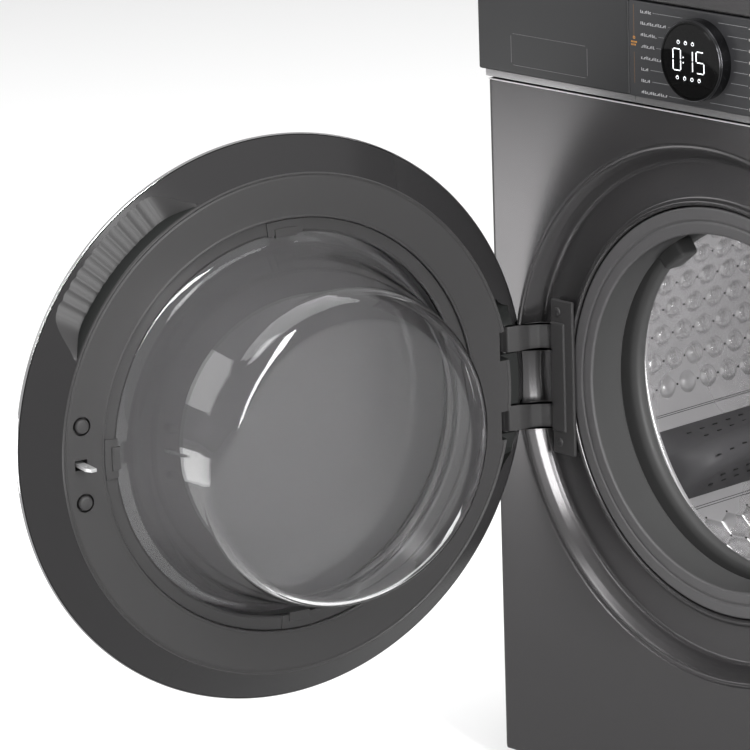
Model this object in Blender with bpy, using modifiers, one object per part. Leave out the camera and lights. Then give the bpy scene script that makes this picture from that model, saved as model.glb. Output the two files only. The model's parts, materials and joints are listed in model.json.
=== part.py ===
"""A front load washing machine, shown with its door open.

Metres, +Z up. The origin is the centre of the base pan's underside, the front faces -Y, and +X is to the
right of someone who stands in front of the machine.
"""

from math import acos, atan2, cos, pi, radians, sin

import bmesh
import bpy
from mathutils import Matrix, Vector

# Cabinet
WIDTH = 0.595
FRONT_Y = -0.270
REAR_Y = 0.270
WRAP_FRONT_Y = -0.2380
WORKTOP_TOP = 0.838
WORKTOP_BOTTOM = 0.8065
FRONT_TOP = 0.7030
SHEET = 0.0015
GAP = 0.0003
FOOT_REACH = 0.012

# Drum axis, which runs along Y, and everything turned about it. Depths are counted from the front panel.
AXIS_Z = 0.408
RECESS_RADIUS = 0.262
RECESS_DEPTH = 0.0205
GASKET_RADIUS = 0.176
TUB_RADIUS = 0.262
TUB_WALL = 0.0035
TUB_FRONT_DEPTH = 0.112
TUB_JOINT_DEPTH = 0.272
TUB_REAR_DEPTH = 0.443
DRUM_RADIUS = 0.245
DRUM_REAR_DEPTH = 0.4245
SHAFT_RADIUS = 0.0125
PULLEY_DEPTH = 0.494
PULLEY_WIDTH = 0.012
PULLEY_RADIUS = 0.135
LIFTER_START = radians(210.7)
MOTOR_X, MOTOR_Z = 0.130, -0.330
MOTOR_PULLEY_RADIUS = 0.010
BELT_THICKNESS = 0.0025

# Door. Heights on it are counted from the plane of its outline, towards the drum.
DOOR_RADIUS = 0.2806
DOOR_PLANE_DEPTH = -0.0313
DOOR_OPEN = radians(102.4)
HINGE_X = -0.256
HINGE_DEPTH = -0.0250
ARM_Z = 0.0405
ARM_HEIGHT = 0.026
FLAT_OUTER = 0.248
FLAT_INNER = 0.204
FLAT_HEIGHT = 0.033
LATCH_RADIUS = 0.229
PEG_Z = 0.0375
PIN_RADIUS = 0.003

# Control panel
PANEL_FRONT = -0.2785
PANEL_BOTTOM = 0.7045
FACE_BOTTOM = 0.7135
PANEL_TOP = 0.8060
SEAM_X = -0.0905
DIAL_X = 0.0035
DIAL_Z = 0.7605
DIAL_RADIUS = 0.039
BUTTON_X = {"power_button": 0.250, "start_button": 0.205}
BUTTON_RADIUS = 0.011

FINE, COARSE, SMALL = 48, 32, 16

for old in list(bpy.data.objects):
    bpy.data.objects.remove(old)
parts = bpy.data.collections.new("washing_machine")
tools = bpy.data.collections.new("cutters")
tools.hide_render = True
for group in (parts, tools):
    bpy.context.scene.collection.children.link(group)


# ------------------------------------------------------------------ helpers
def add(name, mesh, collection=tools, look=None):
    obj = bpy.data.objects.new(name, mesh)
    collection.objects.link(obj)
    if collection is tools:
        obj.hide_render = True
        obj.display_type = "WIRE"
    if look:
        colour, roughness, metallic = look
        material = bpy.data.materials.new(name)
        material.use_nodes = True
        shader = material.node_tree.nodes["Principled BSDF"]
        shader.inputs["Base Color"].default_value = (*colour, 1)
        shader.inputs["Roughness"].default_value = roughness
        shader.inputs["Metallic"].default_value = metallic
        mesh.materials.append(material)
    return obj


def mesh_of(work, name):
    bmesh.ops.recalc_face_normals(work, faces=work.faces)
    mesh = bpy.data.meshes.new(name)
    work.to_mesh(mesh)
    work.free()
    return mesh


def block(name, low, high, collection=tools, look=None, bevel=0.0, upright=False, segments=3):
    """A box between two corners. upright rounds only the four vertical edges."""
    work = bmesh.new()
    bmesh.ops.create_cube(work, size=1)
    size = [b - a for a, b in zip(low, high)]
    middle = [(a + b) / 2 for a, b in zip(low, high)]
    bmesh.ops.scale(work, vec=size, verts=work.verts)
    bmesh.ops.translate(work, vec=middle, verts=work.verts)
    if bevel:
        edges = [e for e in work.edges if not upright or abs((e.verts[0].co - e.verts[1].co).normalized().z) > 0.9]
        bmesh.ops.bevel(work, geom=edges, offset=bevel, segments=segments, profile=0.5, affect="EDGES")
    return add(name, mesh_of(work, name), collection, look)


def rod(name, centre, radius, start, end, collection=tools, look=None, along="Y", steps=SMALL):
    """A solid cylinder along one axis. centre is the pair of coordinates across that axis."""
    work = bmesh.new()
    bmesh.ops.create_cone(work, cap_ends=True, segments=steps, radius1=radius, radius2=radius,
                          depth=end - start)
    a, b = centre
    middle = (start + end) / 2
    turn, place = {
        "X": (Matrix.Rotation(pi / 2, 4, "Y"), (middle, a, b)),
        "Y": (Matrix.Rotation(pi / 2, 4, "X"), (a, middle, b)),
        "Z": (Matrix.Identity(4), (a, b, middle)),
    }[along]
    bmesh.ops.transform(work, matrix=Matrix.Translation(place) @ turn, verts=work.verts)
    return add(name, mesh_of(work, name), collection, look)


def strip(path, thickness):
    """The closed outline of a sheet: the path, and the same path moved to its right by the thickness."""
    moved = []
    for i, (r, h) in enumerate(path):
        ways = []
        for j in (i - 1, i):
            if 0 <= j < len(path) - 1:
                step = Vector(path[j + 1]) - Vector(path[j])
                ways.append(Vector((step.y, -step.x)).normalized())
        normal = sum(ways, Vector((0, 0))).normalized()
        reach = thickness / max(normal.dot(ways[0]), 0.5)
        across = r + normal.x * reach
        moved.append((max(across, 0) if r >= 0 else across, h + normal.y * reach))
    return path + moved[::-1]


def turned(name, outline, depth=0.0, centre=(0.0, AXIS_Z), collection=tools, look=None, along="Y",
           steps=FINE):
    """A solid of revolution from a closed outline of (radius, height) points.

    An outline that starts and ends at radius 0 closes itself on the axis.
    """
    area = sum(a[0] * b[1] - b[0] * a[1] for a, b in zip(outline, outline[1:] + outline[:1]))
    points = list(outline) if area < 0 else list(reversed(outline))
    on_axis = [i for i, (r, _) in enumerate(points) if r < 1e-9]
    if len(on_axis) == 2:
        first = on_axis[1] if (on_axis[0] + 1) % len(points) == on_axis[1] else on_axis[0]
        points = points[first:] + points[:first]
    mesh = bpy.data.meshes.new(name)
    ends = [(i, i + 1) for i in range(len(points) - 1)]
    if len(on_axis) != 2:
        ends.append((len(points) - 1, 0))
    mesh.from_pydata([(r, 0, h) for r, h in points], ends, [])
    obj = add(name, mesh, collection, look)
    screw = obj.modifiers.new("turn", "SCREW")
    screw.steps = screw.render_steps = steps
    screw.use_merge_vertices = True
    screw.merge_threshold = 1e-5
    x, z = centre
    obj.location = (x, FRONT_Y + depth, z) if along == "Y" else (x, depth, z)
    if along == "Y":
        obj.rotation_euler = (-pi / 2, 0, 0)
    return obj


def plate(name, outlines, low, high, collection=tools, look=None):
    """A flat XZ outline, with any holes, as thick as from depth low to high along Y."""
    curve = bpy.data.curves.new(name, "CURVE")
    curve.dimensions = "2D"
    curve.fill_mode = "BOTH"
    curve.extrude = (high - low) / 2
    for outline in outlines:
        spline = curve.splines.new("POLY")
        spline.points.add(len(outline) - 1)
        for point, (x, z) in zip(spline.points, outline):
            point.co = (x, z, 0, 1)
        spline.use_cyclic_u = True
    return from_curve(name, curve, Matrix.Translation((0, (low + high) / 2, 0)) @ Matrix.Rotation(pi / 2, 4,
                                                                                                  "X"),
                      collection, look)


def tube(name, route, radius, collection=tools, look=None, resolution=2):
    """A round bar along a route."""
    curve = bpy.data.curves.new(name, "CURVE")
    curve.dimensions = "3D"
    curve.bevel_depth = radius
    curve.bevel_resolution = resolution
    curve.use_fill_caps = True
    spline = curve.splines.new("POLY")
    spline.points.add(len(route) - 1)
    for point, place in zip(spline.points, route):
        point.co = (*place, 1)
    return from_curve(name, curve, Matrix.Identity(4), collection, look)


def from_curve(name, curve, matrix, collection, look):
    """The curve made a closed mesh, because a curve takes no Boolean."""
    guide = bpy.data.objects.new(name, curve)
    tools.objects.link(guide)
    graph = bpy.context.evaluated_depsgraph_get()
    mesh = bpy.data.meshes.new_from_object(guide.evaluated_get(graph))
    bpy.data.objects.remove(guide)
    work = bmesh.new()
    work.from_mesh(mesh)
    bmesh.ops.remove_doubles(work, verts=work.verts, dist=1e-6)
    bmesh.ops.transform(work, matrix=matrix, verts=work.verts)
    return add(name, mesh_of(work, name), collection, look)


def arc(radius, start, end, steps, centre=(0.0, 0.0)):
    """Points on an arc, angles in radians, both ends included."""
    return [
        (centre[0] + radius * cos(start + (end - start) * i / steps),
         centre[1] + radius * sin(start + (end - start) * i / steps))
        for i in range(steps + 1)
    ]


def sector(name, inner, outer, low, high, start, end, steps=12, centre=(0.0, AXIS_Z), **how):
    """A piece of a flat ring between two angles, from depth low to high."""
    outline = arc(outer, start, end, steps, centre) + arc(inner, end, start, steps, centre)
    return plate(name, [outline], FRONT_Y + low, FRONT_Y + high, **how)


def boolean(obj, other, operation):
    modifier = obj.modifiers.new(operation.lower(), "BOOLEAN")
    modifier.operation = operation
    modifier.object = other
    return obj


def cut(obj, *others):
    for other in others:
        boolean(obj, other, "DIFFERENCE")
    return obj


def join(obj, *others):
    for other in others:
        boolean(obj, other, "UNION")
    return obj


def pivot(name, place, turn=0.0):
    """An empty on a joint's axis. What hangs on it keeps its coordinates in the unturned machine."""
    empty = bpy.data.objects.new(name, None)
    parts.objects.link(empty)
    empty.location = place
    empty.rotation_euler = (0, 0, turn)
    return empty


def hang(empty, *objects):
    """The pieces and their cutters turn with the empty."""
    for obj in objects:
        obj.parent = empty
        obj.matrix_parent_inverse = Matrix.Translation(-Vector(empty.location))


def y(depth):
    return FRONT_Y + depth


PAINT = ((0.16, 0.16, 0.165), 0.35, 0.6)
DARK = ((0.05, 0.05, 0.052), 0.35, 0.0)
BLACK = ((0.015, 0.015, 0.017), 0.1, 0.0)
CHROME = ((0.8, 0.8, 0.8), 0.08, 1.0)
STEEL = ((0.55, 0.55, 0.56), 0.25, 1.0)
RUBBER = ((0.045, 0.044, 0.045), 0.55, 0.0)
GLASS = ((0.75, 0.76, 0.77), 0.03, 0.0)
CONCRETE = ((0.4, 0.4, 0.39), 0.9, 0.0)
RESIN = ((0.62, 0.62, 0.6), 0.5, 0.0)


# ------------------------------------------------------------------ cabinet
def cabinet():
    half = WIDTH / 2
    wrap = block("cabinet_wrap", (-half, WRAP_FRONT_Y - 0.02, 0.004), (half, REAR_Y, WORKTOP_BOTTOM - GAP),
                 parts, PAINT, 0.008, True)
    before = block("wrap_trim", (-half - 0.01, WRAP_FRONT_Y - 0.04, -0.02),
                   (half + 0.01, WRAP_FRONT_Y, WORKTOP_TOP + 0.01))
    room = block("wrap_room", (-half + SHEET, WRAP_FRONT_Y - 0.05, -0.01),
                 (half - SHEET, REAR_Y - SHEET, WORKTOP_TOP), bevel=0.0065, upright=True)
    hatch = block("rear_hatch", (-0.225, REAR_Y - 0.01, 0.06), (0.225, REAR_Y + 0.01, 0.66))
    inlet = rod("inlet_hole", (-0.20, 0.760), 0.0135, REAR_Y - 0.01, REAR_Y + 0.01)
    gland_hole = rod("gland_hole", (0.22, 0.745), 0.0085, REAR_Y - 0.01, REAR_Y + 0.01)
    cut(wrap, before, room, hatch, inlet, gland_hole)

    block("rear_cover", (-0.235, REAR_Y + GAP, 0.050), (0.235, REAR_Y + GAP + 0.0012, 0.670), parts, PAINT)

    pan = block("base_pan", (-half + SHEET + 0.001, WRAP_FRONT_Y, 0),
                (half - SHEET - 0.001, REAR_Y - SHEET - 0.001, 0.020),
                parts, PAINT, 0.004, True, 2)
    cut(pan, block("pan_room", (-half + 0.005, WRAP_FRONT_Y + 0.003, 0.003),
                   (half - 0.005, REAR_Y - 0.005, 0.03)))

    worktop = block("worktop", (-half, FRONT_Y - 0.007, WORKTOP_BOTTOM), (half, REAR_Y + 0.006, WORKTOP_TOP),
                    parts, PAINT, 0.004, False, 2)
    cut(worktop, block("worktop_room", (-half + 0.012, FRONT_Y + 0.010, WORKTOP_BOTTOM - 0.01),
                       (half - 0.012, REAR_Y - 0.012, WORKTOP_TOP - 0.004)))

    for side, x in (("left", -0.245), ("right", 0.245)):
        for end, foot_y in (("front", -0.195), ("rear", 0.225)):
            cut(pan, rod(f"foot_hole_{end}_{side}", (x, foot_y), 0.0055, -0.01, 0.01, along="Z"))
            foot = [(0, 0.026), (0.005, 0.026), (0.005, -0.0035), (0.016, -0.0045), (0.020, -FOOT_REACH),
                    (0, -FOOT_REACH)]
            turned(f"foot_{end}_{side}", foot, foot_y, (x, 0), parts, RUBBER, "Z", SMALL)

    body = [(0.0125, 0.014), (0.0125, -0.003), (0.020, -0.003), (0.020, -0.045), (0, -0.045), (0, 0.014)]
    valve = turned("inlet_valve", body, REAR_Y - FRONT_Y, (-0.20, 0.760), parts, RESIN, steps=SMALL)
    join(valve, block("valve_body", (-0.225, REAR_Y - 0.052, 0.735), (-0.175, REAR_Y - 0.020, 0.785)))
    gland = [(0.008, -0.012), (0.008, GAP), (0.013, GAP), (0.009, 0.012), (0.005, 0.012), (0.005, -0.012)]
    turned("cord_gland", gland, REAR_Y - FRONT_Y, (0.22, 0.745), parts, RUBBER, steps=SMALL)


def front():
    half = WIDTH / 2
    back = WRAP_FRONT_Y - GAP
    panel = block("front_panel", (-half, FRONT_Y, 0.004), (half, back + 0.012, FRONT_TOP), parts, PAINT,
                  0.006)
    behind = block("front_trim", (-half - 0.01, back, -0.01), (half + 0.01, back + 0.03, FRONT_TOP + 0.01))
    room = block("front_room", (-half + SHEET, FRONT_Y + SHEET, 0.0055),
                 (half - SHEET, back + 0.06, FRONT_TOP - SHEET),
                 bevel=0.004)
    rim = [(0.2665, 0.0004), (0.2620, 0.0004), (0.2560, 0.0035), (0.2505, 0.0110), (0.2465, RECESS_DEPTH),
           (0.2110, RECESS_DEPTH), (0.2085, 0.0168), (0.2055, 0.0168), (0.2035, 0.0210), (0.2035, 0.0305)]
    dish = turned("door_recess", strip(rim, SHEET))
    hole = rod("door_hole", (0, AXIS_Z), RECESS_RADIUS - 0.0006, FRONT_Y - 0.01, FRONT_Y + 0.0055, steps=FINE)
    latch = block("latch_slot", (0.2215, y(0), AXIS_Z - 0.013), (0.2375, y(0.030), AXIS_Z + 0.013))
    flap = block("flap_hole", (0.1445, y(-0.01), 0.0258), (0.2555, y(0.01), 0.1025))
    cut(panel, behind, room, hole)
    join(panel, dish)
    cut(panel, latch, flap)

    lid = block("filter_flap", (0.1450, y(0), 0.0280), (0.2550, y(0.0020), 0.1020), parts, PAINT)
    knuckle = rod("flap_knuckle", (y(0.0045), 0.0330), 0.0022, 0.160, 0.240, along="X", steps=16)
    join(lid, block("flap_web", (0.160, y(0.0015), 0.0310), (0.240, y(0.0045), 0.0345)), knuckle)
    hang(pivot("filter_flap_axis", (0.200, y(0.0045), 0.0330)), lid, knuckle, bpy.data.objects["flap_web"])

    cap_axis = (0.200, 0.065)
    cap = [(0.024, 0.014), (0.024, 0.026), (0.019, 0.026), (0.019, 0.0445), (0, 0.0445), (0, 0.014)]
    cap_obj = turned("filter_cap", cap, 0, cap_axis, parts, DARK, steps=SMALL)
    join(cap_obj, block("cap_grip", (0.1975, y(0.008), 0.047), (0.2025, y(0.0150), 0.083)))
    pump = [(0.030, 0.0270), (0.030, 0.080), (0.040, 0.080), (0.040, 0.110), (0.028, 0.110), (0.028, 0.160),
            (0, 0.160),
            (0, 0.050), (0.0195, 0.050), (0.0195, 0.0270)]
    join(turned("drain_pump", pump, 0, cap_axis, parts, RESIN, steps=SMALL),
         block("pump_foot", (0.170, y(0.040), 0.0245), (0.230, y(0.090), 0.045)))

    lock = block("door_lock", (0.2110, y(0.0225), AXIS_Z - 0.045), (0.2460, y(0.0560), AXIS_Z + 0.045), parts,
                 DARK)
    cut(lock, block("lock_mouth", (0.2200, y(0.020), AXIS_Z - 0.014), (0.2390, y(0.048), AXIS_Z + 0.014)))


# ------------------------------------------------------------------ control panel
def controls():
    half = WIDTH / 2
    back = WRAP_FRONT_Y - GAP
    panel = block("control_panel", (-half, PANEL_FRONT, PANEL_BOTTOM), (half, back + 0.01, PANEL_TOP), parts,
                  DARK,
                  0.003, False, 2)
    behind = block("panel_trim", (-half - 0.01, back, PANEL_BOTTOM - 0.01),
                   (half + 0.01, back + 0.03, PANEL_TOP + 0.01))
    under = block("panel_under", (-half - 0.01, PANEL_FRONT - 0.01, PANEL_BOTTOM - 0.01),
                  (half + 0.01, FRONT_Y, FACE_BOTTOM))
    room = block("panel_room", (-0.2935, PANEL_FRONT + 0.0030, FACE_BOTTOM + 0.004),
                 (0.2935, back + 0.06, PANEL_TOP - 0.004))
    low_room = block("panel_low_room", (-0.2935, FRONT_Y + 0.0040, PANEL_BOTTOM + 0.003),
                     (0.2935, back + 0.06, 0.730))
    corner = block("drawer_seat", (-half - 0.01, PANEL_FRONT - 0.01, FACE_BOTTOM - 0.0003),
                   (SEAM_X, -0.2692, PANEL_TOP + 0.01))
    wall = block("drawer_wall", (-half + 0.002, -0.2690, PANEL_BOTTOM + 0.002),
                 (SEAM_X + 0.004, -0.2660, PANEL_TOP - 0.002))
    post = block("drawer_post", (SEAM_X, PANEL_FRONT + 0.0020, FACE_BOTTOM + 0.002),
                 (SEAM_X + 0.004, -0.2665, PANEL_TOP - 0.002))
    mouth = block("drawer_mouth", (-0.279, -0.275, 0.7185), (-0.121, -0.255, 0.7985))
    cut(panel, behind, under, room, low_room, corner)
    join(panel, wall, post)
    cut(panel, mouth)
    for name, x in BUTTON_X.items():
        cut(panel, rod(name + "_hole", (x, DIAL_Z), BUTTON_RADIUS + 0.0004, PANEL_FRONT - 0.01,
                       PANEL_FRONT + 0.01))
        rod(name, (x, DIAL_Z), BUTTON_RADIUS, PANEL_FRONT - 0.0030, PANEL_FRONT + 0.0060, parts, DARK)

    dial = [(DIAL_RADIUS, -0.0003), (DIAL_RADIUS, -0.0125), (0.0382, -0.0145), (0.0364, -0.0150),
            (0.0364, -0.0003)]
    base = PANEL_FRONT - FRONT_Y
    turned("dial_ring", dial, base, (DIAL_X, DIAL_Z), parts, CHROME, steps=COARSE)
    lens = [(0.0359, -0.0140), (0.0359, -0.0020), (0.0200, -0.0003), (0, -0.0003), (0, -0.0147),
            (0.0352, -0.0147)]
    turned("display_lens", lens, base, (DIAL_X, DIAL_Z), parts, BLACK, steps=COARSE)
    block("control_board", (-0.060, -0.2700, 0.722), (0.280, -0.2480, 0.800), parts,
          ((0.02, 0.15, 0.06), 0.5, 0.0))

    slide = pivot("drawer_axis", (-0.200, -0.270, 0.760))
    face = block("dispenser_front", (-half, PANEL_FRONT - 0.001, FACE_BOTTOM),
                 (SEAM_X - 0.0006, -0.2697, PANEL_TOP),
                 parts, DARK, 0.003, False, 2)
    cut_back = block("front_hollow", (-half + 0.0032, -0.2769, FACE_BOTTOM + 0.0034),
                     (SEAM_X - 0.0038, -0.2600, PANEL_TOP - 0.0034))
    cut(face, cut_back)
    tray = block("dispenser_tray", (-0.275, -0.2766, 0.722), (-0.125, -0.0400, 0.795), parts, RESIN)
    rooms = [block(f"tray_room_{i}", (-0.2725 + 0.050 * i, -0.2650, 0.7245),
                   (-0.2725 + 0.050 * i + 0.0470, -0.0425, 0.83))
             for i in range(3)]
    cut(tray, *rooms)
    hang(slide, face, cut_back, tray, *rooms)
    housing = block("dispenser_housing", (-0.284, -0.2370, 0.7160), (-0.116, -0.0350, 0.8040), parts, RESIN)
    cut(housing, block("housing_room", (-0.278, -0.25, 0.7190), (-0.122, -0.0375, 0.8010)))


# ------------------------------------------------------------------ door
def door():
    plane = DOOR_PLANE_DEPTH
    hinge = pivot("door_axis", (HINGE_X, y(HINGE_DEPTH), AXIS_Z), -DOOR_OPEN)
    made = []

    def piece(obj, *helpers):
        made.extend((obj, *helpers))
        return obj

    def level(height):
        return plane + height

    piece(turned("door_trim_ring", [(DOOR_RADIUS, -0.0010), (DOOR_RADIUS, 0.0022), (0.2797, 0.0028),
                                    (0.2795, 0),
                                     (0.2740, 0), (0.2740, -0.0060), (0.2762, -0.0060)],
                 plane, collection=parts, look=CHROME))
    outer = [(0, -0.0140), (0.130, -0.0130), (0.2735, -0.0060), (0.2735, -0.0025), (0.130, -0.0095),
             (0, -0.0105)]
    piece(turned("door_outer_window", outer, plane, collection=parts, look=BLACK))
    piece(turned("door_outer_frame", [(0.2737, -0.0022), (0.2737, -0.0002), (0.1900, -0.0002),
                                      (0.1900, -0.0060)],
                 plane, collection=parts, look=DARK))

    shell = [(0.1905, 0.0195), (FLAT_INNER, 0.0195), (FLAT_INNER, FLAT_HEIGHT),
             (FLAT_OUTER - 0.002, FLAT_HEIGHT), (FLAT_OUTER, 0.0310), (0.2790, 0.0030)]
    frame = piece(turned("door_inner_frame", strip(shell, 0.0028), plane, collection=parts, look=DARK))
    grip_start, grip_end = radians(180 - 133.6 - 24), radians(180 - 133.6 + 24)
    pocket_body = sector("grip_body", 0.2485, 0.2705, level(0.0085), level(0.0205), grip_start - 0.02,
                         grip_end + 0.02)
    pocket = sector("grip_pocket", 0.2510, 0.2680, level(0.0115), level(0.0450), grip_start, grip_end)
    boss_rooms = []
    for sign in (-1, 1):
        low, high = sorted((AXIS_Z + sign * (ARM_Z - ARM_HEIGHT / 2 - 0.0015),
                            AXIS_Z + sign * (ARM_Z + ARM_HEIGHT / 2 + 0.0015)))
        boss_rooms.append(block(f"arm_slot_{sign}", (-0.2900, y(level(0.0006)), low),
                                (-0.2330, y(level(0.0400)), high)))
    boss = sector("hinge_boss", 0.2330, 0.2730, level(0.0006), level(0.0160), pi - 0.24, pi + 0.24, 6)
    pin_hole = rod("pin_hole", (HINGE_X, y(HINGE_DEPTH)), PIN_RADIUS + GAP, AXIS_Z - 0.060, AXIS_Z + 0.060,
                   along="Z", steps=16)
    latch_room = block("latch_room", (LATCH_RADIUS - 0.0065, y(level(0.025)), AXIS_Z - 0.0055),
                       (LATCH_RADIUS + 0.0065, y(level(0.040)), AXIS_Z + 0.0055))
    latch_box = block("latch_box", (LATCH_RADIUS - 0.0120, y(level(0.0040)), AXIS_Z - 0.0160),
                      (LATCH_RADIUS + 0.0120, y(level(0.0310)), AXIS_Z + 0.0160))
    latch_pit = block("latch_pit", (LATCH_RADIUS - 0.0090, y(level(0.0065)), AXIS_Z - 0.0100),
                      (LATCH_RADIUS + 0.0090, y(level(0.0280)), AXIS_Z + 0.0100))
    latch_hole = rod("latch_pin_hole", (LATCH_RADIUS, y(level(0.0150))), 0.0023, AXIS_Z - 0.013,
                     AXIS_Z + 0.013, along="Z", steps=16)
    pegs = []
    for end, sign in (("lower", -1), ("upper", 1)):
        x, z = 0.2265, AXIS_Z + sign * PEG_Z
        pegs.append(rod(f"peg_hole_{end}", (x, z), 0.0040, y(level(0.020)), y(level(0.040)), steps=16))
        head = [(0, 0.0400), (0.0055, 0.0400), (0.0075, 0.0385), (0.0075, 0.0333), (0.0037, 0.0333),
                (0.0037, 0.0265), (0, 0.0265)]
        piece(turned(f"door_peg_{end}", head, plane, (x, z), parts, DARK, steps=SMALL))
    join(frame, pocket_body, boss, latch_box)
    cut(frame, pocket, *boss_rooms, pin_hole, latch_pit, latch_room, latch_hole, *pegs)
    piece(pocket_body, pocket, *boss_rooms, boss, pin_hole, latch_box, latch_pit, latch_room, latch_hole,
          *pegs)

    piece(rod("hinge_pin", (HINGE_X, y(HINGE_DEPTH)), PIN_RADIUS, AXIS_Z - 0.0595, AXIS_Z + 0.0595, parts,
              STEEL, "Z", 16))

    bowl = [(0.1980, 0.0240), (0.1880, 0.0240), (0.1810, 0.0280), (0.1745, 0.0450), (0.1560, 0.1360),
            (0.1490, 0.1490), (0.1340, 0.1565), (0, 0.1600)]
    piece(turned("door_bowl", strip(bowl, -0.0040), plane, collection=parts, look=GLASS))
    clamp = [(0.1900, 0.0265), (0.1900, 0.0292), (0.1925, 0.0305), (0.2036, 0.0305), (0.2036, 0.0245),
             (0.1990, 0.0245), (0.1990, 0.0265)]
    piece(turned("bowl_clamp_ring", clamp, plane, collection=parts, look=DARK))

    hook = piece(block("latch_hook", (LATCH_RADIUS - 0.0045, y(level(0.0115)), AXIS_Z - 0.0018),
                       (LATCH_RADIUS + 0.0045, y(level(0.0560)), AXIS_Z + 0.0018), parts, STEEL))
    eye = rod("hook_eye", (LATCH_RADIUS, y(level(0.0480))), 0.0025, AXIS_Z - 0.01, AXIS_Z + 0.01, along="Z",
              steps=16)
    hub_hole = rod("hook_hub_hole", (LATCH_RADIUS, y(level(0.0150))), 0.0023, AXIS_Z - 0.01, AXIS_Z + 0.01,
                   along="Z", steps=16)
    piece(cut(hook, eye, hub_hole), eye, hub_hole)
    made.remove(hook)
    piece(rod("latch_pin", (LATCH_RADIUS, y(level(0.0150))), 0.0020, AXIS_Z - 0.0125, AXIS_Z + 0.0125, parts,
              STEEL, "Z", 16))
    hang(hinge, *made)


def hinge_bracket():
    """The plate in the recess, with two goosenecks that reach forward to the door's pin."""
    bracket = block("hinge_bracket", (-0.2265, y(0.0120), AXIS_Z - 0.079),
                    (-0.1950, y(0.0155), AXIS_Z + 0.079), parts, DARK)
    route = [(-0.256, HINGE_DEPTH - 0.0055), (-0.2475, HINGE_DEPTH - 0.0030), (-0.2430, -0.0160),
             (-0.2415, -0.0040),
             (-0.2370, 0.0060), (-0.2300, 0.0110), (-0.2180, 0.0125)]
    outline = strip(route, -0.0042)
    for sign in (-1, 1):
        low, high = sorted((AXIS_Z + sign * (ARM_Z - ARM_HEIGHT / 2),
                            AXIS_Z + sign * (ARM_Z + ARM_HEIGHT / 2)))
        arm = plate(f"arm_{sign}", [[(a, -b) for a, b in outline]], 0, high - low)
        turn = Matrix.Translation((0, FRONT_Y, low)) @ Matrix.Rotation(pi / 2, 4, "X")
        arm.data.transform(turn)
        knuckle = rod(f"knuckle_{sign}", (HINGE_X, y(HINGE_DEPTH)), 0.0056, low, high, along="Z", steps=16)
        stand = block(f"stand_{sign}", (-0.2235, y(0.0150), AXIS_Z + sign * 0.067 - 0.008),
                      (-0.2115, y(RECESS_DEPTH) - GAP, AXIS_Z + sign * 0.067 + 0.008))
        join(bracket, arm, knuckle, stand)
    cut(bracket, rod("knuckle_bore", (HINGE_X, y(HINGE_DEPTH)), PIN_RADIUS + GAP, AXIS_Z - 0.07,
                     AXIS_Z + 0.07, along="Z", steps=16))


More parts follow.
